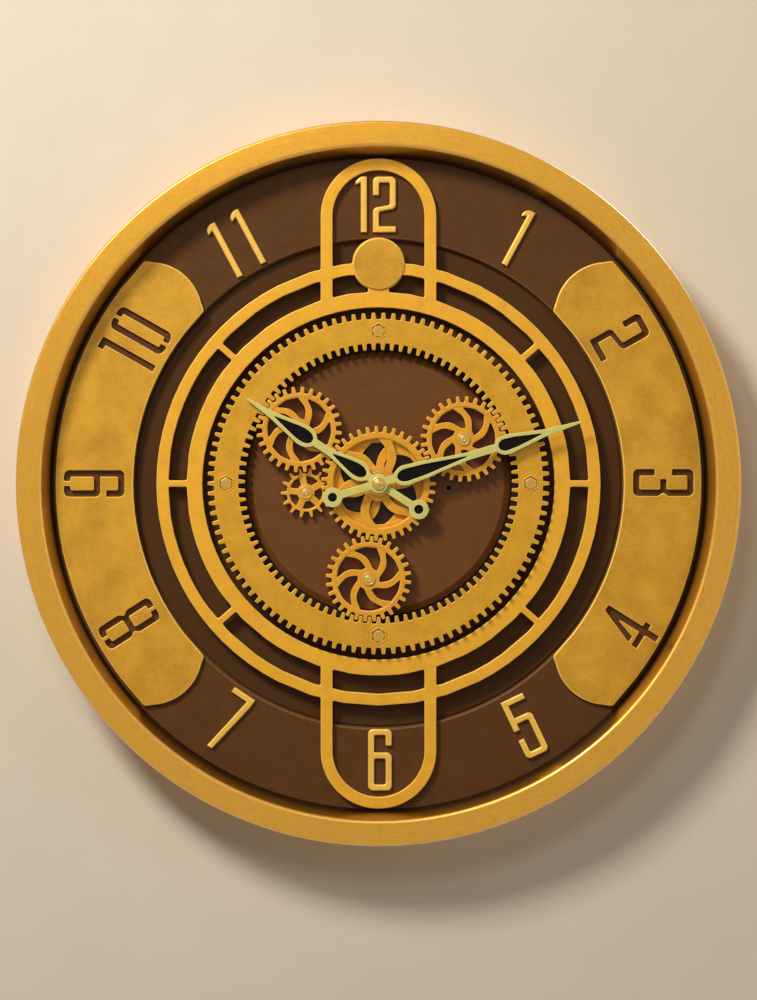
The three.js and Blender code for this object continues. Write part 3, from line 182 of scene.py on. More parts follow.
def rounded(corners: Section) -> Section:
    """Closed section with its corners rounded.

    Args:
        corners: (x, y, rounding) of each corner.

    Returns:
        (x, y, edge mask) of each point; the mask is 1 inside a rounding.
    """
    section: Section = []
    for i, (x, y, rounding) in enumerate(corners):
        if rounding <= 0:
            section.append((x, y, 0.0))
            continue
        before, after = corners[i - 1], corners[(i + 1) % len(corners)]
        arc = corner_arc(before[:2], (x, y), after[:2], rounding)
        section += [(px, py, 1.0 if 0 < k < CORNER_STEPS else 0.0)
                    for k, (px, py) in enumerate(arc)]
    return section


def filleted(outline: Outline, convex: float, concave: float, steps: int = CORNER_STEPS,
             near: tuple[Point, float, float] | None = None) -> Outline:
    """Closed outline with its sharp corners rounded.

    Args:
        outline: closed outline with the material on its left.
        convex: radius of the corners that stick out.
        concave: radius of the inner corners.
        steps: segments per corner.
        near: a centre, a distance from it, and the radius of the corners within that distance.

    Returns:
        The rounded outline.
    """
    points: Outline = []
    for i, here in enumerate(outline):
        turn = turn_at(outline, i)
        radius = convex if turn > 0 else concave
        if near and math.dist(here, near[0]) < near[1]:
            radius = near[2]
        if abs(turn) < SHARP_TURN or radius <= 0:
            points.append(here)
        else:
            after = outline[(i + 1) % len(outline)]
            points += corner_arc(outline[i - 1], here, after, radius, steps)
    return points


def tangents(runs: list[Vector], corner: float) -> tuple[list[Vector], list[Vector]]:
    """Directions in which a smooth path arrives at the points of an outline and leaves them.

    Args:
        runs: way from each point to the next.
        corner: turns above this many degrees stay corners.

    Returns:
        The unit vectors of arriving and of leaving, for each point.
    """
    arrive: list[Vector] = []
    leave: list[Vector] = []
    for i, ahead in enumerate(runs):
        back = runs[i - 1]
        into, out = back.normalized(), ahead.normalized()
        if back.angle(ahead) <= math.radians(corner):
            if back.length > LONG_RUN * ahead.length:
                out = into
            elif ahead.length > LONG_RUN * back.length:
                into = out
            else:
                into = out = (into * ahead.length + out * back.length).normalized()
        arrive.append(into)
        leave.append(out)
    return arrive, leave


def smoothed(outline: Outline, corner: float = 50.0, fine: float = 5.0,
             shortest: float = 0.7) -> Outline:
    """Closed outline whose coarse arcs are redrawn finely, with straight runs and corners kept.

    Args:
        outline: closed outline.
        corner: turns above this many degrees stay corners.
        fine: degrees of arc per new segment.
        shortest: shortest new segment.

    Returns:
        The finer outline.
    """
    pts = [Vector(p) for p in outline]
    ends = pts[1:] + pts[:1]
    runs = [end - start for start, end in zip(pts, ends)]
    arrive, leave = tangents(runs, corner)
    points: Outline = []
    for start, end, run, first, last in zip(pts, ends, runs, leave, arrive[1:] + arrive[:1]):
        bend = run.angle(first) + run.angle(last)
        steps = min(math.ceil(math.degrees(bend) / fine), int(run.length / shortest))
        handle = run.length / (3 * math.cos(bend / 4) ** 2)
        one, two = start + first * handle, end - last * handle
        points.append((start.x, start.y))
        for k in range(1, steps):
            t = k / steps
            s = 1 - t
            p = start * s ** 3 + one * (3 * s * s * t) + two * (3 * s * t * t) + end * t ** 3
            points.append((p.x, p.y))
    return points


def straightened(outline: Outline) -> Outline:
    """Closed outline without the points that lie on a straight run."""
    return [here for i, here in enumerate(outline) if abs(turn_at(outline, i)) > STRAIGHT_TURN]


def inset(outline: Outline, distance: float) -> Outline:
    """Closed outline moved into its material, which lies on the left.

    Args:
        outline: closed outline.
        distance: how far it moves.

    Returns:
        The moved outline, with as many points.
    """
    result: Outline = []
    for i, here in enumerate(outline):
        before, after = outline[i - 1], outline[(i + 1) % len(outline)]
        a = Vector((before[1] - here[1], here[0] - before[0])).normalized()
        b = Vector((here[1] - after[1], after[0] - here[0])).normalized()
        mitre = (a + b) / max(MITRE_LIMIT, 1 + a.dot(b))
        result.append((here[0] + mitre.x * distance, here[1] + mitre.y * distance))
    return result


def cleared(outline: Outline, distance: float) -> Outline:
    """Closed outline without the points beside a sharp corner, so that it can be rounded widely.

    Args:
        outline: closed outline.
        distance: how near to a corner the points go.

    Returns:
        The corners and the points that are farther from them.
    """
    corners = [here for i, here in enumerate(outline) if abs(turn_at(outline, i)) > SHARP_TURN]
    return [here for here in outline
            if here in corners or all(math.dist(here, c) > distance for c in corners)]


def traced(node: str, level: float) -> list[Outline]:
    """Outlines of a CAD node's flat face at a level, with the material on the left.

    Args:
        node: name of the CAD node.
        level: height above the wall.

    Returns:
        Closed outlines, the longest first.
    """
    mesh = frame["nodes"][node].data
    wanted = (WALL - level) * MM
    edges: set[tuple[Point, Point]] = set()
    for face in mesh.polygons:
        corners = [mesh.vertices[v].co for v in face.vertices]
        if any(abs(c.y - wanted) > SAME_LEVEL for c in corners):
            continue
        keys = [(round(c.x / MM, 3) + 0.0, round(c.z / MM, 3) + 0.0) for c in corners]
        if face.normal.y > 0:
            keys.reverse()
        edges.update(zip(keys, keys[1:] + keys[:1]))
    follow = {a: b for a, b in edges if (b, a) not in edges and a != b}
    loops: list[Outline] = []
    while follow:
        start, here = next(iter(follow.items()))
        loop = [start]
        del follow[start]
        while here != start:
            loop.append(here)
            here = follow.pop(here)
        loops.append(straightened(loop))
    return sorted(loops, key=lambda item: -abs(area(item)))


def shaded(mesh: bpy.types.Mesh) -> bpy.types.Mesh:
    """Shade a mesh smooth but for edges sharper than the smooth angle.

    Args:
        mesh: the mesh.

    Returns:
        The same mesh.
    """
    mesh.polygons.foreach_set("use_smooth", [True] * len(mesh.polygons))
    mesh.set_sharp_from_angle(angle=SMOOTH_ANGLE)
    return mesh


@dataclass(frozen=True)
class Edge:
    """Rounded front edge of a plate."""

    width: float = 0.0
    drop: float = 0.0
    steps: int = 3

    def rows(self, back: float, front: float) -> list[Spot]:
        """Rows of a wall with this edge at its front.

        Args:
            back: level of the wall's foot.
            front: level of the plate's face.

        Returns:
            Inset, level and edge mask of each row, from the back to the front.
        """
        if self.width <= 0:
            return [(0.0, back, 0.0), (0.0, front, 0.0)]
        rows = [(0.0, back, 0.0)]
        for i in range(self.steps + 1):
            angle = math.pi / 2 * i / self.steps
            # The mask places the painted highlight on the rounding.
            mask = 0.0 if i == self.steps else 0.7 + 0.3 * math.sin(2 * angle)
            rows.append((self.width * (1 - math.cos(angle)),
                         front - self.drop * (1 - math.sin(angle)), mask))
        return rows


@dataclass(frozen=True)
class Loop:
    """One outline of a plate with its front edge; without a wall, another piece goes on there."""

    outline: Outline
    edge: Edge = Edge()
    wall: bool = True


class Sketch:
    """Points and faces of one piece, with a mask that marks its rounded edges."""

    def __init__(self) -> None:
        """Start empty."""
        self.points: list[Spot] = []
        self.masks: list[float] = []
        self.faces: list[tuple[int, ...]] = []

    def row(self, points: list[Spot], masks: list[float]) -> list[int]:
        """Add points with their masks.

        Args:
            points: places of the points.
            masks: edge mask of each point.

        Returns:
            Indices of the points.
        """
        first = len(self.points)
        self.points += points
        self.masks += masks
        return list(range(first, len(self.points)))

    def ring(self, outline: Outline, level: float, mask: float = 0.0) -> list[int]:
        """Add the points of an outline at a level and return their indices."""
        return self.row([(x, y, level) for x, y in outline], [mask] * len(outline))

    def strip(self, lower: list[int], upper: list[int], closed: bool = True) -> None:
        """Join two rows of as many points by quads.

        Args:
            lower: indices of the first row.
            upper: indices of the second row.
            closed: whether the rows run round.
        """
        count = len(lower)
        for i in range(count if closed else count - 1):
            k = (i + 1) % count
            self.faces.append((lower[i], lower[k], upper[k], upper[i]))

    def skin(self, rows: list[list[int]], closed: bool = True, behind: bool = False) -> None:
        """Join each row to the next; behind, the rows run towards the wall."""
        for lower, upper in zip(rows, rows[1:]):
            self.strip(*((upper, lower) if behind else (lower, upper)), closed)

    def cap(self, rings: list[list[int]], facing: int) -> None:
        """Fill the area between rings.

        Args:
            rings: indices of the outer ring and of the holes.
            facing: 1 towards the viewer and -1 towards the wall.
        """
        flat = [[Vector((self.points[i][0], self.points[i][1], 0)) for i in ring] for ring in rings]
        order = [i for ring in rings for i in ring]
        for a, b, c in tessellate_polygon(flat):
            ia, ib, ic = order[a], order[b], order[c]
            pa, pb, pc = self.points[ia], self.points[ib], self.points[ic]
            side = (pb[0] - pa[0]) * (pc[1] - pa[1]) - (pb[1] - pa[1]) * (pc[0] - pa[0])
            if abs(side) > NO_AREA:
                self.faces.append((ia, ib, ic) if side * facing > 0 else (ia, ic, ib))

    def plate(self, loops: list[Loop], back: float, front: float, rear: bool = True) -> "Sketch":
        """Add a flat plate with rounded front edges.

        Args:
            loops: outlines with the material on their left.
            back: level of the rear face.
            front: level of the front face.
            rear: whether the rear face is closed.

        Returns:
            The sketch itself.
        """
        tops, feet = [], []
        for loop in loops:
            rows = [self.ring(inset(loop.outline, depth), level, mask)
                    for depth, level, mask in loop.edge.rows(back, front)]
            if loop.wall:
                self.skin(rows)
            tops.append(rows[-1])
            feet.append(rows[0])
        self.cap(tops, 1)
        if rear:
            self.cap(feet, -1)
        return self

    def turned(self, corners: Section, steps: int, centre: Point = ORIGIN) -> "Sketch":
        """Add a body turned about an axis through centre.

        Args:
            corners: (radius, level, rounding) of each corner of the section, anticlockwise.
            steps: segments round the axis.
            centre: place of the axis.

        Returns:
            The sketch itself.
        """
        rows = [self.ring(circle(max(radius, 0.0), steps, centre), level, mask)
                for radius, level, mask in rounded(corners)]
        self.skin([*rows, rows[0]])
        return self

    def tube(self, bore: float, radius: float, back: float, front: float, steps: int,
             rounds: tuple[float, float, float, float] = (0, 0, 0, 0),
             centre: Point = ORIGIN) -> "Sketch":
        """Add a tube, a ring or, without a bore, a disc.

        Args:
            bore: inner radius.
            radius: outer radius.
            back: rear level.
            front: front level.
            steps: segments round the axis.
            rounds: roundings at the rear bore, the rear rim, the front rim and the front bore.
            centre: place of the axis.

        Returns:
            The sketch itself.
        """
        corners = ((bore, back), (radius, back), (radius, front), (bore, front))
        return self.turned([(*corner, r) for corner, r in zip(corners, rounds)], steps, centre)

    def rod(self, radius: float, back: float, front: float, centre: Point = ORIGIN,
            steps: int = 32, rounding: float = 0.25) -> "Sketch":
        """Add a round bar with softened ends."""
        return self.tube(0, radius, back, front, steps, (0, rounding, rounding, 0), centre)

    def rear_wall(self, outline: Outline, back: float, front: float, edge: Edge) -> list[list[int]]:
        """Add a wall with its rear edge rounded, as it is seen from behind.

        Args:
            outline: outline with the material on its left.
            back: rear level.
            front: front level.
            edge: rounding of the rear edge.

        Returns:
            The wall's rows, from the front to the back.
        """
        rows = [self.ring(inset(outline, depth), back + front - level, mask)
                for depth, level, mask in edge.rows(back, front)]
        self.skin(rows, behind=True)
        return rows

    def block(self, outline: Outline, back: float, front: float, edge: float = 0.3) -> "Sketch":
        """Add a block softened on its rear edge.

        Args:
            outline: outline with the material on its left.
            back: rear level.
            front: front level.
            edge: rounding of the rear edge.

        Returns:
            The sketch itself.
        """
        rows = self.rear_wall(outline, back, front, Edge(edge, edge, 2))
        self.cap([rows[-1]], -1)
        self.cap([rows[0]], 1)
        return self

    def bent(self, corners: Section, low: float, high: float) -> "Sketch":
        """Add a bar of one section that runs in y.

        Args:
            corners: (x, level, rounding) of each corner of the section, anticlockwise.
            low: lower end.
            high: upper end.

        Returns:
            The sketch itself.
        """
        section = rounded(corners)
        masks = [mask for _, _, mask in section]
        top, foot = (self.row([(x, y, level) for x, level, _ in section], masks)
                     for y in (high, low))
        self.strip(top, foot)
        flat = [Vector((x, level, 0)) for x, level, _ in section]
        for a, b, c in tessellate_polygon([flat]):
            if (flat[b] - flat[a]).cross(flat[c] - flat[a]).z < 0:
                b, c = c, b
            self.faces += [(top[a], top[c], top[b]), (foot[a], foot[b], foot[c])]
        return self

    def mesh(self, name: str) -> bpy.types.Mesh:
        """Make the mesh in the frame's own axes.

        Args:
            name: name of the mesh.

        Returns:
            The mesh, with doubles merged and the shading set by angle.
        """
        mesh = bpy.data.meshes.new(name)
        mesh.from_pydata([(x * MM, (WALL - z) * MM, y * MM) for x, y, z in self.points], [],
                         self.faces)
        mesh.attributes.new(PAINTED_HIGHLIGHT_MASK, "FLOAT", "POINT").data.foreach_set("value", self.masks)
        work = bmesh.new()
        work.from_mesh(mesh)
        bmesh.ops.remove_doubles(work, verts=work.verts, dist=WELD)
        bmesh.ops.dissolve_degenerate(work, edges=work.edges, dist=SLIVER)
        work.to_mesh(mesh)
        work.free()
        return shaded(mesh)


def traced_plate(node: str, back: float, front: float, edge: Edge, convex: float,
                 concave: float) -> Sketch:
    """Plate with the outline of a CAD node, redrawn finely and with rounded edges.

    Args:
        node: CAD node to follow.
        back: rear level of the plate.
        front: front level of the plate and of the node's face.
        edge: edge of the outline and of the openings.
        convex: rounding of the corners that stick out of the outer outline.
        concave: rounding of all other corners.

    Returns:
        The sketch.
    """
    loops = []
    for outline in traced(node, front):
        radius = concave if area(outline) < 0 else convex
        loops.append(Loop(filleted(smoothed(outline), radius, concave), edge))
    return Sketch().plate(loops, back, front)


def pan_screw(seat: float, tip: float, centre: Point = ORIGIN) -> Sketch:
    """Screw driven from behind, with a crossed recess in its domed head.

    Args:
        seat: level under the head.
        tip: level of the shank's end.
        centre: place of its axis.

    Returns:
        The sketch.
    """
    head, shank, top, arm = 3.2, 1.2, seat - 2, (3.4, 0.7)
    sketch = Sketch().turned([
        (0, top, 0), (head * 0.62, seat - 1.9, 0.6), (head, seat - 0.9, 0.5), (head, seat, 0.1),
        (shank, seat, 0), (shank, tip, 0.2), (0, tip, 0)], 28, centre)
    for wide, tall in (arm, arm[::-1]):
        sketch.block(box_about(centre, wide, tall), top, seat - 1.2, 0.05)
    return sketch


class NodeTree:
    """Adds nodes to a tree and joins them."""

    def __init__(self, tree: bpy.types.NodeTree) -> None:
        """Hold the tree and clear it."""
        self.tree = tree
        tree.nodes.clear()

    @classmethod
    def group(cls, name: str, kind: str, inputs: dict[str, tuple[str, object]],
              outputs: dict[str, str]) -> "NodeTree":
        """Start a node group.

        Args:
            name: name of the group.
            kind: type of its tree.
            inputs: socket name to its type and its value; None leaves the value as it is.
            outputs: socket name to its type.

        Returns:
            The group with its interface.
        """
        make = cls(bpy.data.node_groups.new(name, kind))
        new = make.tree.interface.new_socket
        for title, (sort, value) in inputs.items():
            item = new(name=title, in_out="INPUT", socket_type=f"NodeSocket{sort}")
            if value is not None:
                item.default_value = value
        for title, sort in outputs.items():
            new(name=title, in_out="OUTPUT", socket_type=f"NodeSocket{sort}")
        return make

    def add(self, kind: str, inputs: dict | None = None, **settings: object) -> bpy.types.Node:
        """Add a node.

        Args:
            kind: node type.
            inputs: socket name or index to a value or to a socket that feeds it.
            **settings: properties of the node.

        Returns:
            The node.
        """
        node = self.tree.nodes.new(kind)
        for key, value in settings.items():
            setattr(node, key, value)
        for key, value in (inputs or {}).items():
            if isinstance(value, bpy.types.NodeSocket):
                self.tree.links.new(value, node.inputs[key])
            else:
                node.inputs[key].default_value = value
        return node

    def noise(self, place: Socket, scale: object, detail: float, roughness: float) -> Socket:
        """Add a noise texture and return its value."""
        return self.add("ShaderNodeTexNoise", {
            "Vector": place, "Scale": scale, "Detail": detail, "Roughness": roughness}).outputs[0]

    def ramp(self, value: Socket, low: object, high: object, start: float = 0.0,
             end: float = 1.0) -> Socket:
        """Add a node that maps low to high onto start to end, and return its output."""
        return self.add("ShaderNodeMapRange", {
            0: value, 1: low, 2: high, 3: start, 4: end}).outputs[0]

    def mix(self, factor: Socket, first: object, second: object) -> Socket:
        """Mix two colours."""
        return self.add("ShaderNodeMix", {0: factor, 6: first, 7: second},
                        data_type="RGBA").outputs[2]

    def math(self, operation: str, first: object, second: object = 0.0,
             clamp: bool = False) -> Socket:
        """Add a math node and return its output."""
        return self.add("ShaderNodeMath", {0: first, 1: second}, operation=operation,
                        use_clamp=clamp).outputs[0]

    def vector(self, operation: str, first: object, second: object) -> Socket:
        """Add a vector math node and return its output."""
        return self.add("ShaderNodeVectorMath", {0: first, 1: second},
                        operation=operation).outputs[0]


class RadialArray:
    """Copies of one template set round a circle, as a Geometry Nodes tree."""

    INPUTS = {"Template": ("Object", None), "Count": ("Int", 6), "Radius": ("Float", 0.0),
              "Start": ("Float", 0.0), "Centre": ("Vector", (0.0, 0.0, 0.0)),
              "Weld": ("Float", WELD), "Finish": ("Material", None)}

    def __init__(self) -> None:
        """Build the tree once."""
        make = NodeTree.group("radial_array", "GeometryNodeTree",
                              {"Geometry": ("Geometry", None), **self.INPUTS},
                              {"Geometry": "Geometry"})
        self.tree = make.tree
        given = make.add("NodeGroupInput").outputs
        index = make.add("GeometryNodeInputIndex").outputs[0]
        share = make.math("DIVIDE", math.tau, given["Count"])
        angle = make.math("ADD", make.math("MULTIPLY", index, share), given["Start"])
        x, z = (make.math("MULTIPLY", make.math(name, angle), given["Radius"])
                for name in ("COSINE", "SINE"))
        place = make.add("ShaderNodeCombineXYZ", {0: x, 2: z}).outputs[0]
        back = make.math("MULTIPLY", angle, -1.0)
        turned = make.add("ShaderNodeCombineXYZ", {1: back}).outputs[0]
        template = make.add("GeometryNodeObjectInfo", {"Object": given["Template"]})
        last = make.add("GeometryNodePoints", {"Count": given["Count"], "Position": place})
        for kind, inputs in (
                ("GeometryNodeInstanceOnPoints",
                 {"Instance": template.outputs["Geometry"], "Rotation": turned}),
                ("GeometryNodeRealizeInstances", {}),
                ("GeometryNodeTransform", {"Translation": given["Centre"]}),
                ("GeometryNodeMergeByDistance", {"Distance": given["Weld"]}),
                ("GeometryNodeSetMaterial", {"Material": given["Finish"]})):
            last = make.add(kind, {0: last.outputs[0], **inputs})
        make.add("NodeGroupOutput", {0: last.outputs[0]})

    def mesh(self, name: str, template: Sketch, finish: bpy.types.Material, count: int,
             radius: float, start: float, centre: Point) -> bpy.types.Mesh:
        """Run the tree and return the plain mesh.

        Args:
            name: name of the mesh.
            template: sketch drawn about the circle's centre, or about the place of one copy.
            finish: material of the copies.
            count: number of copies.
            radius: circle that the copies stand on, in millimetres.
            start: angle of the first copy, in degrees.
            centre: centre of the circle.

        Returns:
            The joined copies.
        """
        mesh = template.mesh(f"{name}_template")
        source = bpy.data.objects.new(mesh.name, mesh)
        made = evaluated(name, self.tree, {
            "Template": source, "Count": count, "Radius": radius * MM,
            "Start": math.radians(start), "Centre": (centre[0] * MM, 0.0, centre[1] * MM),
            "Weld": WELD, "Finish": finish})
        bpy.data.objects.remove(source)
        bpy.data.meshes.remove(mesh)
        return made


def evaluated(name: str, tree: bpy.types.NodeTree, values: dict[str, object]) -> bpy.types.Mesh:
    """Run a Geometry Nodes tree on an empty mesh and return what it makes as a plain mesh.

    Args:
        name: name of the mesh.
        tree: the tree.
        values: interface socket name to its value.

    Returns:
        The mesh, with no modifier left behind.
    """
    empty = bpy.data.meshes.new(f"{name}_holder")
    holder = bpy.data.objects.new(empty.name, empty)
    bpy.context.scene.collection.objects.link(holder)
    modifier = holder.modifiers.new("nodes", "NODES")
    modifier.node_group = tree
    for item in tree.interface.items_tree:
        if item.in_out == "INPUT" and item.name in values:
            modifier[item.identifier] = values[item.name]
    mesh = plain_copy(holder)
    mesh.name = name
    bpy.data.objects.remove(holder)
    bpy.data.meshes.remove(empty)
    return shaded(mesh)


def plain_copy(obj: bpy.types.Object) -> bpy.types.Mesh:
    """Mesh of an object with its modifiers applied."""
    graph = bpy.context.evaluated_depsgraph_get()
    return bpy.data.meshes.new_from_object(obj.evaluated_get(graph), depsgraph=graph)


def linear(colour: Colour) -> tuple[float, float, float, float]:
    """Screen colour 0-255 as scene-linear values."""
    parts = [c / 255 / 12.92 if c <= 10 else ((c / 255 + 0.055) / 1.055) ** 2.4 for c in colour]
    return parts[0], parts[1], parts[2], 1.0


class Marks:
    """Shader group: soft mottling, hairline scratches, fine grain and broken painted edge
    highlights.
    """

    NAME = "surface_marks"
    CLOUD = (5.0, 0.6)
    CLOUD_RANGE = (0.3, 0.7)
    WARP_SCALE = 14.0
    WARP = (0.02, 0.02, 0.02)
    HAIRLINES = ((0.5, 26.0), (-0.9, 34.0), (1.4, 30.0))
    HAIRLINE_NOISE = (160.0, 2.0, 0.4)
    HAIRLINE_RANGE = (0.66, 0.74)
    GRAIN_NOISE = (1150.0, 3.0, 0.6)
    BREAKS = (0.25, 0.5, 0.55, 1.0)

    @classmethod
    def build(cls) -> bpy.types.NodeTree:
        """Make the group; each hairline set has a turn in radians and a stretch.

        Returns:
            The group's tree.
        """
        make = NodeTree.group(
            cls.NAME, "ShaderNodeTree",
            {"Vector": ("Vector", None), "Mottle Scale": ("Float", 90.0), "Edge": ("Float", 0.0)},
            dict.fromkeys(("Mottle", "Scratches", "Grain", "Edge"), "Float"))
        given = make.add("NodeGroupInput").outputs
        place = given["Vector"]
        cloud = make.noise(place, given["Mottle Scale"], *cls.CLOUD)
        warp = make.add("ShaderNodeTexNoise", {"Vector": place, "Scale": cls.WARP_SCALE,
                                               "Detail": 1.0}).outputs[1]
        bent = make.vector("ADD", place, make.vector("MULTIPLY", warp, cls.WARP))
        lines = 0.0
        for turn, stretch in cls.HAIRLINES:
            tilted = make.add("ShaderNodeMapping", {"Vector": bent, "Rotation": (0.0, turn, 0.0),
                                                    "Scale": (1.0, 1.0, stretch)}).outputs[0]
            thin = make.ramp(make.noise(tilted, *cls.HAIRLINE_NOISE), *cls.HAIRLINE_RANGE)
            lines = make.math("MAXIMUM", lines, thin)
        # The Edge output places the painted highlight on rounded edges.
        broken = make.ramp(cloud, *cls.BREAKS)
        make.add("NodeGroupOutput", {
            "Mottle": make.ramp(cloud, *cls.CLOUD_RANGE), "Scratches": lines,
            "Grain": make.noise(place, *cls.GRAIN_NOISE),
            "Edge": make.math("MULTIPLY", given["Edge"], broken, clamp=True)})
        return make.tree


class Brushing:
    """Shader group: brushing strokes round the clock's axis, and a painted-shade mask of a radius's
    inside.
    """

    NAME = "ring_brushing"
    LINES = 1800.0
    STROKES = 50.0
    NOISE = (1.0, 3.0, 0.65)

    @classmethod
    def build(cls) -> bpy.types.NodeTree:
        """Make the group; the painted-shade mask fades in from the level Top to the level Foot.

        Returns:
            The group's tree.
        """
        floats = {"Lines": cls.LINES, "Strokes": cls.STROKES, "Radius": 0.28, "Top": -0.0262,
                  "Foot": -0.009}
        make = NodeTree.group(
            cls.NAME, "ShaderNodeTree",
            {"Vector": ("Vector", None), **{name: ("Float", v) for name, v in floats.items()}},
            dict.fromkeys(("Brushing", "Inside"), "Float"))
        given = make.add("NodeGroupInput").outputs
        x, y, z = make.add("ShaderNodeSeparateXYZ", {0: given["Vector"]}).outputs
        squares = [make.math("MULTIPLY", side, side) for side in (x, z)]
        radius = make.math("SQRT", make.math("ADD", *squares))
        around = make.add("ShaderNodeCombineXYZ", {
            0: make.math("MULTIPLY", radius, given["Lines"]),
            1: make.math("MULTIPLY", y, given["Lines"]),
            2: make.math("MULTIPLY", make.math("ARCTAN2", z, x), given["Strokes"])}).outputs[0]
        inside = make.math("LESS_THAN", radius, given["Radius"])
        down = make.ramp(y, given["Top"], given["Foot"])
        make.add("NodeGroupOutput", {"Brushing": make.noise(around, *cls.NOISE),
                                     "Inside": make.math("MULTIPLY", inside, down)})
        return make.tree


@dataclass(frozen=True)
class PaintedShade:
    """Painted shade: a darker colour inside a radius, fading in from one level to another, in
    metres.
    """

    colour: Colour
    radius: float
    top: float
    foot: float
    brushed: float = 0.0


@dataclass(frozen=True)
class Finish:
    """One coated or moulded surface; colours are screen values and shares run from 0 to 1."""

    slot: Slot
    colour: Colour
    dark: Colour
    # Colour of the scratches and of the painted highlight on rounded edges.
    edge: Colour
    roughness: float
    metallic: float = 0.0
    specular: float = 0.5
    mottle: float = 0.6
    scratches: float = 0.3
    # Share of the painted highlight on rounded edges.
    painted_edge_highlight: float = 0.6
    bump: float = 0.15
    grain: float = 1.6
    mottle_scale: float = 90.0
    coat: float = 0.0
    coat_roughness: float = 0.12
    # Painted shade inside a radius, if any.
    inner: PaintedShade | None = None
    brush_tint: float = 1.8
    brush_depth: float = 2.0
    scratch_depth: float = 0.6
    bump_reach: float = 0.00012
    roughness_spread: float = 0.1

    def build(self, marks: bpy.types.NodeTree, brushing: bpy.types.NodeTree) -> bpy.types.Material:
        """Make the material.

        Args:
            marks: shader group with the mottling, scratches, grain and edge mask.
            brushing: shader group used where the finish has a painted shade inside a radius.

        Returns:
            The material, named after its slot.
        """
        material = bpy.data.materials.new(self.slot.value)
        material.use_nodes = True
        make = NodeTree(material.node_tree)
        place = make.add("ShaderNodeTexCoord").outputs["Object"]
        # Mask of the rounded edges, where the painted highlight goes.
        mask = make.add("ShaderNodeAttribute", attribute_name=PAINTED_HIGHLIGHT_MASK).outputs["Fac"]
        out = make.add("ShaderNodeGroup", {"Vector": place, "Mottle Scale": self.mottle_scale,
                                           "Edge": mask}, node_tree=marks).outputs
        fine = make.math("MULTIPLY", make.math("SUBTRACT", out["Grain"], 0.5), self.grain)
        shade = make.math("ADD", make.math("MULTIPLY", out["Mottle"], self.mottle), fine)
        scored = make.math("MULTIPLY", out["Scratches"], -self.scratch_depth)
        height = make.math("ADD", out["Grain"], scored)
        inside = None
        if self.inner:
            turned = make.add("ShaderNodeGroup", {
                "Vector": place, "Radius": self.inner.radius, "Top": self.inner.top,
                "Foot": self.inner.foot}, node_tree=brushing).outputs
            strokes = make.math("SUBTRACT", turned["Brushing"], 0.5)
            tinted = make.math("MULTIPLY", strokes, self.brush_tint * self.inner.brushed)
            shade = make.math("ADD", shade, tinted)
            deep = make.math("MULTIPLY", turned["Brushing"], self.brush_depth * self.inner.brushed)
            height = make.math("ADD", height, deep)
            inside = turned["Inside"]
        base = make.mix(make.math("MAXIMUM", shade, 0.0, clamp=True), linear(self.colour),
                        linear(self.dark))
        # Lighter scratches and the painted edge highlight tint the base towards the edge colour.
        worn = make.math("MULTIPLY", out["Scratches"], self.scratches)
        painted_highlight = make.math("MULTIPLY", out["Edge"], self.painted_edge_highlight)
        tint = make.mix(make.math("MAXIMUM", painted_highlight, worn, clamp=True), base, linear(self.edge))
        # Painted shade inside the radius.
        if inside:
            tint = make.mix(inside, tint, linear(self.inner.colour))
        spread = make.math("MULTIPLY", out["Mottle"], self.roughness_spread)
        rough = make.math("ADD", spread, self.roughness - self.roughness_spread / 2)
        bump = make.add("ShaderNodeBump", {"Strength": self.bump, "Distance": self.bump_reach,
                                           "Height": height})
        shader = make.add("ShaderNodeBsdfPrincipled", {
            "Base Color": tint, "Metallic": self.metallic, "Roughness": rough,
            "Normal": bump.outputs[0], "Specular IOR Level": self.specular,
            "Coat Weight": self.coat, "Coat Roughness": self.coat_roughness})
        make.add("ShaderNodeOutputMaterial", {"Surface": shader.outputs[0]})
        return material


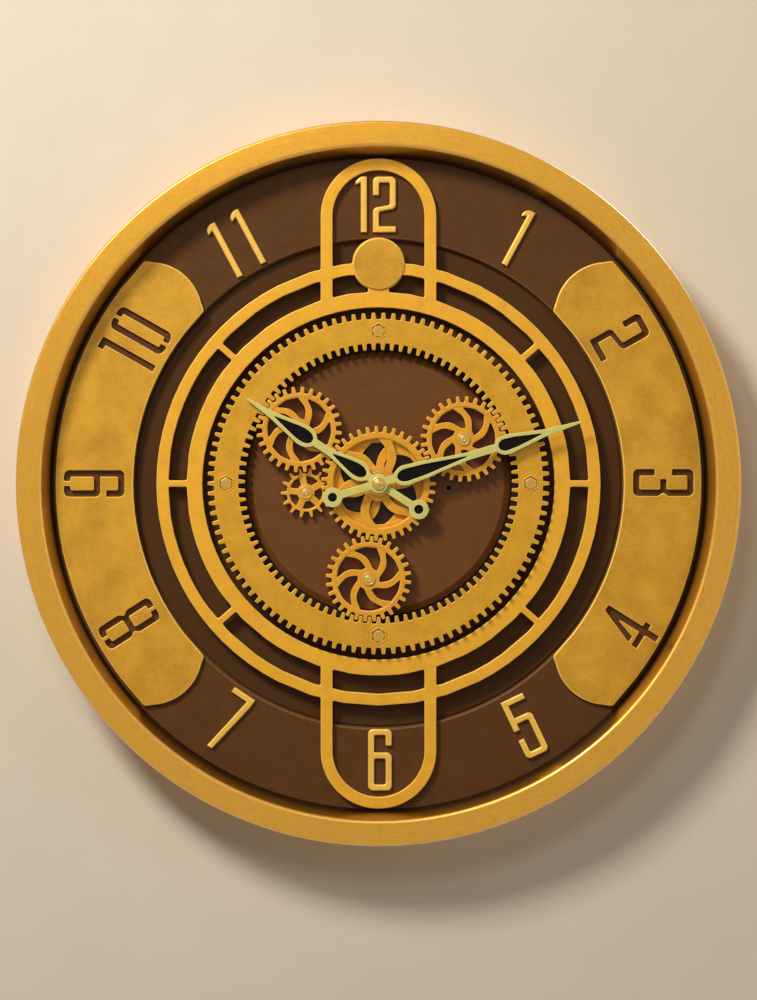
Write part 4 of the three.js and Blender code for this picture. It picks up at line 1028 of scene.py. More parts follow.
FINISHES = (
    # Painted shade and a painted reflection of the dark dial darken the foot of the rim's inner
    # wall.
    Finish(Slot.RIM, (203, 147, 36), (174, 122, 26), (255, 240, 200), 0.36, 0.85, 0.3,
           mottle=0.35, scratches=0.08, painted_edge_highlight=0.05, bump=0.3, coat=0.5,
           inner=PaintedShade((62, 33, 6), 0.2797, -0.0272, -0.009, brushed=1.0)),
    Finish(Slot.FRAME, (236, 173, 43), (212, 147, 30), (255, 216, 110), 0.46, 0.25, 0.3,
           painted_edge_highlight=0.55),
    Finish(Slot.PANEL, (214, 158, 42), (168, 116, 20), (255, 208, 100), 0.46, 0.3, 0.3,
           mottle=0.75, mottle_scale=32.0, painted_edge_highlight=0.85, grain=1.25),
    Finish(Slot.NUMERAL, (246, 192, 74), (216, 150, 44), (255, 230, 140), 0.38, 0.3, 0.4,
           painted_edge_highlight=0.3, grain=1.0),
    Finish(Slot.RING, (217, 159, 36), (178, 123, 21), (248, 204, 100), 0.46, 0.3, 0.3,
           mottle_scale=60.0),
    Finish(Slot.GEAR, (230, 161, 36), (198, 128, 22), (255, 210, 106), 0.46, 0.2, 0.3,
           grain=1.1),
    # Painted shade darkens the dial's sunk field.
    Finish(Slot.DIAL, (94, 60, 28), (80, 50, 22), (140, 98, 56), 0.5, specular=0.1,
           scratches=0.12, grain=1.0, inner=PaintedShade((76, 47, 20), 0.2035, 0.003, 0.0034)),
    # Painted shade darkens the drum in the well under the sun gears.
    Finish(Slot.DRUM, (111, 69, 32), (96, 59, 26), (178, 124, 66), 0.34, specular=0.12,
           scratches=0.12, coat=0.06, grain=0.9,
           inner=PaintedShade((50, 31, 15), 0.042, -0.006, -0.004)),
    Finish(Slot.HAND, (217, 207, 114), (196, 186, 92), (246, 240, 170), 0.5, specular=0.3,
           painted_edge_highlight=0.8, grain=0.7),
    Finish(Slot.INLAY, (20, 14, 7), (13, 9, 5), (52, 40, 24), 0.6, specular=0.06,
           scratches=0.1),
    Finish(Slot.BRASS, (198, 156, 64), (168, 126, 44), (255, 232, 160), 0.32, 0.6,
           mottle=0.3, scratches=0.05, bump=0.04, grain=0.3),
    Finish(Slot.STEEL, (176, 178, 180), (150, 152, 156), (216, 218, 220), 0.34, 0.9),
    Finish(Slot.BLACK, (46, 30, 18), (34, 22, 13), (72, 56, 42), 0.5, specular=0.1, bump=0.3),
    Finish(Slot.GREY, (112, 114, 117), (94, 96, 99), (150, 152, 155), 0.48, bump=0.3),
    Finish(Slot.WRAP, (46, 92, 58), (36, 76, 46), (90, 140, 104), 0.3, 0.1, scratches=0.15,
           coat=0.4),
)


def numbered(name: str, count: int) -> list[str]:
    """Names of like nodes, counted from 1."""
    return [f"{name}_{i}" for i in range(1, count + 1)]


class Workshop:
    """Makes finished objects that ride on the frame's bodies."""

    def __init__(self) -> None:
        """Build the finishes and the node trees, and dress the CAD nodes."""
        marks, brushing = Marks.build(), Brushing.build()
        self.finishes = {item.slot: item.build(marks, brushing) for item in FINISHES}
        self.radial = RadialArray()
        slots = {row["node"]: row["material_slot"] for row in frame["record"]["subparts"]}
        for name, node in frame["nodes"].items():
            node.data.materials.clear()
            node.data.materials.append(self.finishes[Slot(slots[name])])

    def repeat(self, name: str, template: Sketch, slot: Slot, count: int, radius: float = 0.0,
               start: float = 0.0, centre: Point = ORIGIN) -> bpy.types.Mesh:
        """Set copies of a template round a circle."""
        finish = self.finishes[slot]
        return self.radial.mesh(name, template, finish, count, radius, start, centre)

    def deliver(self, name: str, parts: Sketch | bpy.types.Mesh | list, slot: Slot, body: str,
                *nodes: str) -> None:
        """Join the parts of one piece, finish it and set it on its body.

        Args:
            name: name of the object.
            parts: a sketch, a mesh or a list of them.
            slot: material slot of the piece.
            body: body that it rides on.
            *nodes: CAD nodes that it stands for.
        """
        items = parts if isinstance(parts, list) else [parts]
        meshes = [item.mesh(name) if isinstance(item, Sketch) else item for item in items]
        work = bmesh.new()
        for mesh in meshes:
            work.from_mesh(mesh)
        bmesh.ops.remove_doubles(work, verts=work.verts, dist=WELD)
        whole = bpy.data.meshes.new(name)
        work.to_mesh(whole)
        work.free()
        for mesh in meshes:
            bpy.data.meshes.remove(mesh)
        whole.materials.clear()
        whole.materials.append(self.finishes[slot])
        whole.polygons.foreach_set("material_index", [0] * len(whole.polygons))
        obj = bpy.data.objects.new(name, whole)
        bpy.context.scene.collection.objects.link(obj)
        obj.modifiers.new("weighted", "WEIGHTED_NORMAL").keep_sharp = True
        obj.data = plain_copy(obj)
        obj.modifiers.clear()
        bpy.data.meshes.remove(whole)
        obj.data.name = name
        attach(obj, body)
        if nodes:
            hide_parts(*nodes)
        LOG.info("%s: %d faces on %s", name, len(obj.data.polygons), body)


@dataclass(frozen=True)
class CaseAndDial:
    """Outer rim, dial plate, drum and the screws behind them."""

    shop: Workshop
    radius: float = 300.0
    depth: float = 55.0
    sheet: float = 2.0
    face: float = 21.0
    lean: float = 7.5
    lip: float = 8.0
    foot_level: float = 30.3
    fixings: int = 4
    fixing_circle: float = 287.0
    fixing_start: float = 45.0
    fixing_radius: float = 4.0
    fixing_bore: float = 1.5
    fixing_gap: float = 1.2
    screw_seat: float = 26.7
    screw_tip: float = 34.7
    bore: float = 4.3
    dial_back: float = 21.0
    dial_floor: float = 24.0
    dial_edge: float = 291.0
    annulus_back: float = 27.0
    annulus: float = 30.0
    step: float = 204.3
    step_wall: float = 3.0
    groove: float = 1.8
    groove_depth: float = 0.9
    well: float = 10.0
    drum: float = 109.8
    drum_shelf: float = 5.8
    drum_face: float = 104.2
    drum_back: float = 24.3
    drum_under: float = 27.5
    drum_brim: float = 0.7
    drum_front: float = 31.0
    spare: Point = (58.6, -3.7)
    spare_bore: float = 2.3
    spare_radius: float = 4.0
    spare_back: float = 28.0
    spare_front: float = 32.6
    # Dark disc of painted shade in the spare boss's bore.
    painted_shade_radius: float = 2.25
    painted_shade_levels: Point = (31.05, 31.3)
    studs: int = 3
    stud_circle: float = 78.0
    stud_start: float = 60.0
    stud_radius: float = 2.2
    stud_levels: Point = (20.2, 25.0)

    def build(self) -> None:
        """Make every piece."""
        self.make_rim()
        self.make_dial()
        self.make_drum()
        self.make_screws()

    def make_rim(self) -> None:
        """Brushed ring with a flat face, a slanted inner wall and a rear lip."""
        rear, inside = self.radius - self.lip, self.radius - self.sheet
        face, front = self.radius - self.face, self.depth - self.sheet
        foot = face - self.lean
        body = Sketch().turned([
            (rear, 0, 0.4), (self.radius, 0, 0.9), (self.radius, self.depth, 2.0),
            (face, self.depth, 3.6), (foot, self.foot_level, 0.3),
            (foot + self.sheet, self.foot_level, 0.3), (face + self.sheet, front, 0.5),
            (inside, front, 0.5), (inside, self.sheet, 0.5), (rear, self.sheet, 0.4)], 288)
        boss = Sketch().tube(self.fixing_bore, self.fixing_radius, self.foot_level,
                             self.depth - self.fixing_gap, 24, (0, 0.3, 0, 0))
        bosses = self.shop.repeat("rim_bosses", boss, Slot.RIM, self.fixings,
                                  self.fixing_circle, self.fixing_start)
        self.shop.deliver("rim", [body, bosses], Slot.RIM, "case", "outer_rim")

    def make_dial(self) -> None:
        """Dark plate with a raised annulus, a shoulder, a groove and a sunk field."""
        wall, ledge = self.step + self.step_wall, self.step - self.groove
        sunk = self.dial_floor - self.groove_depth
        body = Sketch().turned([
            (self.bore, self.dial_back, 0.2), (wall, self.dial_back, 0.8),
            (wall, self.annulus_back, 0.8), (self.dial_edge, self.annulus_back, 0.4),
            (self.dial_edge, self.annulus, 0.4), (self.step, self.annulus, 1.8),
            (self.step, sunk, 0.3), (ledge, sunk, 0.3), (ledge, self.dial_floor, 0.35),
            (self.bore, self.dial_floor, 0.2)], 240)
        self.shop.deliver("dial", body, Slot.DIAL, "case", "dial_plate")

    def make_drum(self) -> None:
        """Round platform with a glossy sloping side, a spare boss and three studs."""
        shelf = self.drum - self.drum_shelf
        body = Sketch().turned([
            (self.well, self.drum_back, 0.2), (shelf, self.drum_back, 0.3),
            (shelf, self.drum_under, 0.3), (self.drum, self.drum_under, 0.2),
            (self.drum, self.drum_under + self.drum_brim, 0.3),
            (self.drum_face, self.drum_front, 0.45), (self.well, self.drum_front, 0.4)], 192)
        boss = Sketch().tube(self.spare_bore, self.spare_radius, self.spare_back,
                             self.spare_front, 40, (0, 0, 0.5, 0.35), self.spare)
        # Dark disc of painted shade on the floor of the spare boss's bore.
        shade = Sketch().rod(self.painted_shade_radius, *self.painted_shade_levels, self.spare, rounding=0.05)
        self.shop.deliver("boss_hole", shade, Slot.INLAY, "case")
        stud = Sketch().rod(self.stud_radius, *self.stud_levels, steps=20)
        studs = self.shop.repeat("drum_studs", stud, Slot.DRUM, self.studs, self.stud_circle,
                                 self.stud_start)
        self.shop.deliver("drum", [body, boss, studs], Slot.DRUM, "case", "gear_drum")

    def make_screws(self) -> None:
        """Pan-head screws that hold the dial in the rim."""
        screw = pan_screw(self.screw_seat, self.screw_tip)
        screws = self.shop.repeat("rim_screws", screw, Slot.STEEL, self.fixings,
                                  self.fixing_circle, self.fixing_start)
        self.shop.deliver("rim_screws", screws, Slot.STEEL, "case",
                          *numbered("rim_screw", self.fixings))


@dataclass(frozen=True)
class DialPlates:
    """The frame with its badge, the two stencilled panels and the raised numerals."""

    shop: Workshop
    back: float = 30.3
    frame_front: float = 35.3
    frame_edge: Edge = Edge(0.8, 0.8, 4)
    frame_convex: float = 0.9
    frame_concave: float = 1.4
    stud_circle: float = 180.2
    stud_angles: tuple[float, ...] = (0, 41, 139, 180, 221, 319)
    stud_radius: float = 1.6
    stud_back: float = 20.2
    collar_radius: float = 3.2
    collar_back: float = 24.3
    collar_front: float = 31.0
    badge_centre: Point = (0.0, 183.0)
    badge_radius: float = 21.2
    badge_back: float = 35.6
    badge_front: float = 37.6
    panel_front: float = 33.8
    panel_edge: Edge = Edge(1.3, 1.1, 5)
    panel_corner: float = 5.0
    figure_edge: Edge = Edge(0.6, 0.6, 4)
    figure_corner: float = 0.9
    numeral_front: float = 33.3
    numeral_edge: Edge = Edge(1.5, 1.5, 6)
    numerals: tuple[str, ...] = ("12_ten", "12_unit", "1", "5", "6", "7", "11_ten", "11_unit")

    def build(self) -> None:
        """Make every piece."""
        self.make_frame()
        self.make_badge()
        for side in ("left", "right"):
            self.make_panel(side)
        for name in self.numerals:
            self.make_numeral(f"numeral_{name}")

    def make_frame(self) -> None:
        """Two rings, six bars, two arches and the badge's seat in one plate with small fillets."""
        plate = traced_plate("dial_frame", self.back, self.frame_front, self.frame_edge,
                             self.frame_convex, self.frame_concave)
        stud, collar = self.stud_radius, self.collar_radius
        for angle in self.stud_angles:
            plate.turned([
                (0, self.stud_back, 0), (stud, self.stud_back, 0.2), (stud, self.collar_back, 0),
                (collar, self.collar_back, 0.2), (collar, self.collar_front, 0),
                (0, self.collar_front, 0)], 20, polar(self.stud_circle, angle))
        self.shop.deliver("frame", plate, Slot.FRAME, "case", "dial_frame")

    def make_badge(self) -> None:
        """Plain round badge with a soft edge."""
        disc = Sketch().tube(0, self.badge_radius, self.badge_back, self.badge_front, 96,
                             (0, 0.2, 0.9, 0), self.badge_centre)
        self.shop.deliver("badge", disc, Slot.PANEL, "case", "badge_disc")

    def make_panel(self, side: str) -> None:
        """Stencilled panel: embossed sheet with a rolled edge and pressed openings.

        Args:
            side: side of the dial that the panel is on.
        """
        outer, *openings = traced(f"{side}_panel", self.back)
        corner = self.panel_corner
        shape = filleted(cleared(smoothed(outer), corner), corner, 0, 6)
        loops = [Loop(shape, self.panel_edge)]
        for item in openings:
            figure = filleted(smoothed(item), self.figure_corner, self.figure_corner)
            loops.append(Loop(figure, self.figure_edge))
        plate = Sketch().plate(loops, self.back, self.panel_front)
        self.shop.deliver(f"panel_{side}", plate, Slot.PANEL, "case", f"{side}_panel")

    def make_numeral(self, name: str) -> None:
        """Raised digit with pillowed edges."""
        plate = traced_plate(name, self.back, self.numeral_front, self.numeral_edge, 0, 0)
        self.shop.deliver(f"{name}_shown", plate, Slot.NUMERAL, "case", name)


@dataclass(frozen=True)
class Teeth:
    """Toothed edge of a gear: teeth outward when the tip is the larger radius."""

    count: int
    tip: float
    root: float
    phase: float
    root_share: float = 0.52
    tip_share: float = 0.34
    edge: Edge = Edge(0.55, 0.55, 4)
    tip_round: float = 0.75
    root_round: float = 0.6
    seam_steps: int = 3

    @property
    def pitch(self) -> float:
        """Angle from tooth to tooth, in degrees."""
        return FULL / self.count

    @property
    def outward(self) -> bool:
        """Whether the teeth point away from the centre."""
        return self.tip > self.root

    def run(self) -> Outline:
        """One pitch of the toothed edge, with its corners rounded.

        Returns:
            The points from gap to gap.
        """
        half = self.pitch / 2
        lip = self.pitch * self.tip_share / 2
        foot = self.pitch * self.root_share / 2
        corners = [polar(self.root, -half), polar(self.root, -foot), polar(self.tip, -lip),
                   polar(self.tip, lip), polar(self.root, foot), polar(self.root, half)]
        rounds = (self.root_round, self.tip_round, self.tip_round, self.root_round)
        points = [corners[0]]
        for before, here, after, radius in zip(corners, corners[1:], corners[2:], rounds):
            points += corner_arc(before, here, after, radius)
        return points + [corners[-1]]

    def inset_run(self, run: Outline, distance: float) -> Outline:
        """The run moved into the material.

        Args:
            run: one pitch of the toothed edge.
            distance: how far it moves.

        Returns:
            The moved run, with the material on its left and its ends on the pitch lines.
        """
        sign = 1 if self.outward else -1
        middle = inset(run[::sign], distance)[1:-1]
        root, half = self.root - sign * distance, sign * self.pitch / 2
        return [polar(root, -half), *middle, polar(root, half)]

    def seam_arc(self, radius: float) -> Outline:
        """One pitch of a seam circle, against the direction of the toothed edge."""
        turn = self.pitch if self.outward else -self.pitch
        return [polar(radius, turn * (0.5 - i / self.seam_steps))
                for i in range(self.seam_steps + 1)]

    def sector(self, seam: float, back: float, front: float, seam_edge: Edge = Edge(),
               seam_back: float = 0.0) -> Sketch:
        """One pitch of the gear between its toothed edge and a seam circle.

        Args:
            seam: radius of the circle where the web goes on.
            back: rear level.
            front: front level.
            seam_edge: edge at the seam; without a width the surface goes on flat.
            seam_back: level that the wall at the seam goes down to.

        Returns:
            The sketch, drawn about the gear's centre.
        """
        sketch = Sketch()
        run = self.run()
        rows = [sketch.ring(self.inset_run(run, depth), level, mask)
                for depth, level, mask in self.edge.rows(back, front)]
        sketch.skin(rows, closed=False)
        sign = 1 if self.outward else -1
        seams = [sketch.ring(self.seam_arc(seam + sign * depth), level, mask)
                 for depth, level, mask in seam_edge.rows(seam_back, front)]
        if seam_edge.width > 0:
            sketch.skin(seams, closed=False)
        sketch.cap([rows[-1] + seams[-1]], 1)
        sketch.cap([rows[0] + sketch.ring(self.seam_arc(seam), back)], -1)
        return sketch


@dataclass(frozen=True)
class Spokes:
    """Spokes that curl back and widen towards the rim."""

    count: int = 6
    hub: float = 14.2
    rim: float = 34.0
    start: float = 24.5
    curl: float = 0.0706
    width: float = 6.8
    flare: float = 0.0113
    steps: int = 12

    def openings(self) -> list[Outline]:
        """Work out the openings between the spokes.

        Returns:
            Clockwise outlines about the gear's centre.
        """
        share = FULL / self.count
        low, high = [], []
        for i in range(self.steps + 1):
            out = (self.rim - self.hub) * i / self.steps
            radius = self.hub + out
            slope = math.radians(2 * self.curl * out) * radius
            width = (self.width + self.flare * out ** 2) * math.hypot(1, slope)
            half = math.degrees(width / 2 / radius)
            lead = self.start - self.curl * out ** 2
            low.append((radius, lead + half))
            high.append((radius, lead + share - half))
        path = [*low, *self.between(low[-1], high[-1]), *high[::-1], *self.between(high[0], low[0])]
        return [[polar(r, angle + share * k) for r, angle in reversed(path)]
                for k in range(self.count)]

    def between(self, start: Point, end: Point) -> list[Point]:
        """Points (radius, angle) on the arc between two points of one radius."""
        return [(start[0], start[1] + (end[1] - start[1]) * k / self.steps)
                for k in range(1, self.steps)]


@dataclass(frozen=True)
class GearSpec:
    """One gear with a web: its teeth, levels and centre."""

    name: str
    body: str
    teeth: Teeth
    centre: Point
    back: float
    front: float
    seam: float
    step: float
    bore: float
    boss: float
    boss_rise: float
    spokes: Spokes | None = None
    hub_reach: float = 0.0
    hub_round: float = 2.1

    def openings(self) -> list[Outline]:
        """Openings of the web: the CAD node's, or its bore and the gear's own spokes.

        Returns:
            Clockwise outlines.
        """
        holes = [smoothed(outline, OPENING_CORNER) for outline in traced(self.name, self.front)
                 if area(outline) < 0]
        if self.spokes is None:
            return holes
        return [max(holes, key=area), *self.spokes.openings()]


@dataclass(frozen=True)
class Planet:
    """Centre of a planet gear, on its joint's axis, and its angle in steps of the train."""

    centre: Point
    steps: float


@dataclass(frozen=True)
class GearTrain:
    """The ring gear, both sun gears, three planets and the idler.

    The planets stand whole steps of the train apart, so they mesh with the front sun gear and
    with the ring's inner teeth alike.
    """

    shop: Workshop
    sun_teeth: int = 39
    planet_teeth: int = 28
    ring_teeth: int = 95
    outer_teeth: int = 106
    idler_teeth: int = 14
    rear_teeth: int = 33
    right: Planet = Planet((70.655, 36.943), 10.275)
    left: Planet = Planet((-65.956, 44.796), 54.275)
    bottom: Planet = Planet((-8.303, -79.296), 98.275)
    idler: Point = (-60.5, -7.5)
    low: float = 33.0
    middle: float = 36.7
    top: float = 42.0
    web_edge: Edge = Edge(0.35, 0.3, 3)
    opening_edge: Edge = Edge(0.5, 0.45, 4)
    opening_round: float = 0.9
    hub_sink: float = 0.5
    sleeve_bore: float = 6.3
    ring_back: float = 38.0
    ring_outer: Point = (142.0, 136.7)
    ring_inner: Point = (110.9, 116.5)
    ring_outer_seam: float = 134.6
    ring_inner_seam: float = 118.2
    bolts: int = 4
    bolt_circle: float = 126.6
    bolt_hex: float = 5.1
    bolt_levels: Point = (40.3, 41.7)
    shank_radius: float = 2.2
    shank_levels: Point = (32.3, 40.8)
    recess_hex: float = 6.05
    recess_floor: float = 6.6
    recess_levels: Point = (39.6, 40.0)
    lip_hex: Point = (6.1, 7.6)
    lip_sink: float = 0.3
    lip_rise: float = 0.45
    moat: Point = (8.6, 9.4)
    moat_rise: float = 0.16
    hoop: Point = (105.2, 131.5)
    hoop_levels: Point = (24.9, 26.9)
    post: Point = (2.5, 4.0)
    post_levels: Point = (25.5, 37.7)
    washer: Point = (6.3, 10.0)
    washer_levels: Point = (42.3, 43.1)
    axle_foot: float = 25.0
    axle_radius: float = 3.0
    idler_axle_radius: float = 2.4
    collar_share: float = 6.5 / 3
    collar_back: float = 31.3
    collar_rise: float = 1.4
    shaft_foot: float = 17.7
    tap_radius: float = 1.5
    tap_depth: float = 6.0
    sleeve: tuple[Spot, ...] = (
        (4.4, 31.3, 0.2), (13, 31.3, 0.15), (13, 32.6, 0.25), (6, 32.6, 0.3), (6, 43.1, 0.25),
        (4.4, 43.1, 0.2))
    screw_gap: float = 0.3
    screw_washer: tuple[Spot, ...] = (
        (0, 0, 0), (5.3, 0, 0.1), (5.3, 0.6, 0.25), (4.4, 0.6, 0.1), (4.2, 0.45, 0.1),
        (3.3, 0.45, 0.1), (3.1, 0.6, 0.1), (0, 0.6, 0))
    screw_head: tuple[Spot, ...] = (
        (0, 0.5, 0), (2.75, 0.5, 0), (2.75, 1.2, 0.3), (1.6, 1.45, 0.3), (1.4, 1.3, 0.1),
        (0.9, 1.3, 0.1), (0.7, 1.6, 0.2), (0, 1.7, 0))
    screw_shank: float = 1.2
    screw_length: float = 4.9
    screw_overlap: float = 0.3

    @property
    def planets(self) -> dict[str, Planet]:
        """The planets by their side."""
        return {"right": self.right, "left": self.left, "bottom": self.bottom}

    def angle(self, planet: Planet) -> float:
        """Angle of a planet's centre, in degrees."""
        return planet.steps * FULL / (self.sun_teeth + self.ring_teeth)

    def phase(self, planet: Planet) -> float:
        """Phase of a planet in mesh with the front sun gear."""
        return self.meshed(self.sun_teeth, 0.0, self.planet_teeth, self.angle(planet))

    def ring_phase(self) -> float:
        """Stand the ring's inner teeth in mesh with the planets.

        Returns:
            Phase of the inner teeth, in degrees.
        """
        angle = self.angle(self.right)
        offset = (self.phase(self.right) - angle) * self.planet_teeth / FULL + 0.5
        return angle + offset * FULL / self.ring_teeth

    @staticmethod
    def meshed(driver: int, phase: float, teeth: int, angle: float) -> float:
        """Phase of a gear that meshes with a driver in the direction given by angle."""
        offset = (phase - angle) * driver / FULL
        return angle + 180 - FULL / teeth * (offset + 0.5)

    def specs(self) -> list[GearSpec]:
        """List the gears with a web.

        Returns:
            The sun gears, the idler and the planets, each in mesh with the one that drives it.
        """
        down = direction(self.left.centre, self.idler)
        idler = self.meshed(self.planet_teeth, self.phase(self.left), self.idler_teeth, down)
        rear = self.meshed(self.idler_teeth, idler, self.rear_teeth, direction(self.idler, ORIGIN))
        specs = [
            GearSpec("front_sun_gear", "front_sun", Teeth(self.sun_teeth, 47.81, 42.51, 0.0),
                     ORIGIN, 37.3, self.top, seam=37.9, step=1.0, bore=self.sleeve_bore,
                     boss=14.6, boss_rise=1.0),
            GearSpec("rear_sun_gear", "rear_sun", Teeth(self.rear_teeth, 43.3, 39.4, rear),
                     ORIGIN, self.low, self.middle, seam=34.2, step=0.6, bore=self.sleeve_bore,
                     boss=14.4, boss_rise=0.4, spokes=Spokes()),
            GearSpec("idler_gear", "idler",
                     Teeth(self.idler_teeth, 21.0, 16.0, idler, 0.46, 0.2, tip_round=0.6),
                     self.idler, self.low, self.middle, seam=14.3, step=0.4, bore=2.7, boss=7.2,
                     boss_rise=0.3)]
        for side, planet in self.planets.items():
            teeth = Teeth(self.planet_teeth, 35.67, 30.57, self.phase(planet))
            specs.append(GearSpec(f"planet_gear_{side}", f"planet_{side}", teeth, planet.centre,
                                  self.low, self.top, seam=27.3, step=0.5, bore=3.3, boss=5.0,
                                  boss_rise=0.25, hub_reach=14.0))
        return specs

    def build(self) -> None:
        """Make every piece."""
        for spec in self.specs():
            self.make_gear(spec)
        self.make_ring()
        self.make_hoop()
        self.make_bolts()
        self.make_fasteners()
        self.make_axles()

    def make_gear(self, spec: GearSpec) -> None:
        """Gear with a toothed band, a slightly lower web with curved spokes, and a hub ring.

        Args:
            spec: the gear.
        """
        web = spec.front - spec.step
        sector = spec.teeth.sector(spec.seam, spec.back, spec.front, self.web_edge, web)
        band = self.shop.repeat(f"{spec.name}_teeth", sector, Slot.GEAR, spec.teeth.count,
                                start=spec.teeth.phase, centre=spec.centre)
        loops = [Loop(circle(spec.seam, 96, spec.centre), wall=False)]
        near = (spec.centre, spec.hub_reach, spec.hub_round)
        for outline in spec.openings():
            wide = cleared(outline, spec.hub_round) if spec.hub_reach else outline
            shape = filleted(wide, self.opening_round, self.opening_round, 6, near)
            loops.append(Loop(shape, self.opening_edge))
        plate = Sketch().plate(loops, spec.back, web)
        hub = Sketch().tube(spec.bore, spec.boss, web - self.hub_sink, web + spec.boss_rise, 64,
                            (0, 0, 0.35, 0.2), spec.centre)
        self.shop.deliver(f"{spec.name}_shown", [band, plate, hub], Slot.GEAR, spec.body,
                          spec.name)

    def make_ring(self) -> None:
        """Large ring toothed on both sides, with a raised lip round each hexagon recess."""
        back, front, phase = self.ring_back, self.top, self.ring_phase()
        outer = Teeth(self.outer_teeth, *self.ring_outer, 0.0).sector(
            self.ring_outer_seam, back, front, seam_back=back)
        inner = Teeth(self.ring_teeth, *self.ring_inner, phase).sector(
            self.ring_inner_seam, back, front, seam_back=back)
        bands = [
            self.shop.repeat("ring_outer_teeth", outer, Slot.RING, self.outer_teeth),
            self.shop.repeat("ring_inner_teeth", inner, Slot.RING, self.ring_teeth, start=phase)]
        loops = [Loop(circle(self.ring_outer_seam, 3 * self.outer_teeth), wall=False),
                 Loop(circle(self.ring_inner_seam, 3 * self.ring_teeth)[::-1], wall=False)]
        places = [polar(self.bolt_circle, FULL / self.bolts * i) for i in range(self.bolts)]
        loops += [Loop(self.hexagon(self.recess_hex, 0.3, place)[::-1], Edge(0.4, 0.35))
                  for place in places]
        plate = Sketch().plate(loops, back, front)
        for place in places:
            plate.tube(0, self.recess_floor, *self.recess_levels, 24, centre=place)
        lip, foot = Sketch(), front - self.lip_sink
        inside, outside = self.lip_hex
        for place in places:
            lip.plate([Loop(self.hexagon(outside, 0.8, place), Edge(0.35, 0.3)),
                       Loop(self.hexagon(inside, 0.5, place)[::-1], Edge(0.3, 0.3))],
                      foot, front + self.lip_rise, rear=False)
            lip.tube(*self.moat, foot, front + self.moat_rise, 48, (0, 0, 0.12, 0.12), place)
        self.shop.deliver("ring_gear_shown", [*bands, plate, lip], Slot.RING, "ring", "ring_gear")

    @staticmethod
    def hexagon(radius: float, rounding: float, centre: Point = ORIGIN) -> Outline:
        """Anticlockwise hexagon that stands on a corner, with its corners rounded."""
        return filleted(circle(radius, 6, centre, 30), rounding, rounding)

    def make_hoop(self) -> None:
        """Guide hoop behind the ring gear, with a post at each bolt."""
        body = Sketch().tube(*self.hoop, *self.hoop_levels, 160, (0.3, 0.3, 0.3, 0.3))
        post = Sketch().tube(*self.post, *self.post_levels, 32, (0, 0.2, 0.4, 0))
        posts = self.shop.repeat("hoop_posts", post, Slot.BLACK, self.bolts, self.bolt_circle)
        self.shop.deliver("guide_hoop", [body, posts], Slot.BLACK, "ring", "ring_guide_hoop")

    def make_bolts(self) -> None:
        """Hexagon bolts in the ring gear's recesses."""
        head = Loop(self.hexagon(self.bolt_hex, 0.5), Edge(0.5, 0.35))
        bolt = Sketch().plate([head], *self.bolt_levels)
        bolt.rod(self.shank_radius, *self.shank_levels, steps=24)
        bolts = self.shop.repeat("ring_bolts", bolt, Slot.BRASS, self.bolts, self.bolt_circle)
        self.shop.deliver("ring_bolts", bolts, Slot.BRASS, "ring",
                          *numbered("ring_bolt", self.bolts))

    def make_fasteners(self) -> None:
        """Screw and washer on each gear, and the washer that keeps the sun gears."""
        for side, planet in self.planets.items():
            body = "planet_bottom" if side == "bottom" else "case"
            name = f"planet_screw_{side}"
            screw = self.slotted_screw(self.top, planet.centre)
            self.shop.deliver(f"{name}_shown", screw, Slot.BRASS, body, name)
        screw = self.slotted_screw(self.middle, self.idler)
        self.shop.deliver("idler_screw_shown", screw, Slot.BRASS, "case", "idler_screw")
        washer = Sketch().tube(*self.washer, *self.washer_levels, 64, (0.1, 0.1, 0.25, 0.25))
        self.shop.deliver("sun_washer", washer, Slot.BRASS, "case", "sun_retainer")

    def make_axles(self) -> None:
        """Axles with a collar, the motor shaft, and the sleeve under the sun gears."""
        foot, low, high = self.axle_foot, self.collar_back, self.collar_back + self.collar_rise
        for name, centre, radius, top in (
                ("planet_axle_left", self.left.centre, self.axle_radius, self.top),
                ("planet_axle_right", self.right.centre, self.axle_radius, self.top),
                ("idler_axle", self.idler, self.idler_axle_radius, self.middle)):
            collar = radius * self.collar_share
            post = Sketch().turned([
                (0, foot, 0), (radius, foot, 0.4), (radius, low, 0), (collar, low, 0.15),
                (collar, high, 0.25), (radius, high, 0), *self.tapped(radius, top)], 40, centre)
            self.shop.deliver(f"{name}_shown", post, Slot.STEEL, "case", name)
        shaft = Sketch().turned([
            (0, self.shaft_foot, 0), (self.axle_radius, self.shaft_foot, 0.4),
            *self.tapped(self.axle_radius, self.top)], 40, self.bottom.centre)
        self.shop.deliver("motor_shaft_shown", shaft, Slot.STEEL, "planet_bottom", "motor_shaft")
        sleeve = Sketch().turned([*self.sleeve], 64)
        self.shop.deliver("sun_sleeve_shown", sleeve, Slot.BRASS, "case", "sun_sleeve")

    def tapped(self, radius: float, top: float) -> Section:
        """Section of a round bar's free end with a hole for its screw."""
        bore, deep = self.tap_radius, top - self.tap_depth
        return [(radius, top, 0.25), (bore, top, 0.1), (bore, deep, 0), (0, deep, 0)]

    def slotted_screw(self, seat: float, centre: Point) -> Sketch:
        """Domed screw with a grooved top, on a dished washer.

        Args:
            seat: level of the gear's face.
            centre: place of its axis.

        Returns:
            The sketch.
        """
        base, sketch = seat + self.screw_gap, Sketch()
        for section, steps in ((self.screw_washer, 48), (self.screw_head, 40)):
            sketch.turned([(radius, base + rise, rounding) for radius, rise, rounding in section],
                          steps, centre)
        return sketch.rod(self.screw_shank, seat - self.screw_length, base + self.screw_overlap,
                          centre, 16)


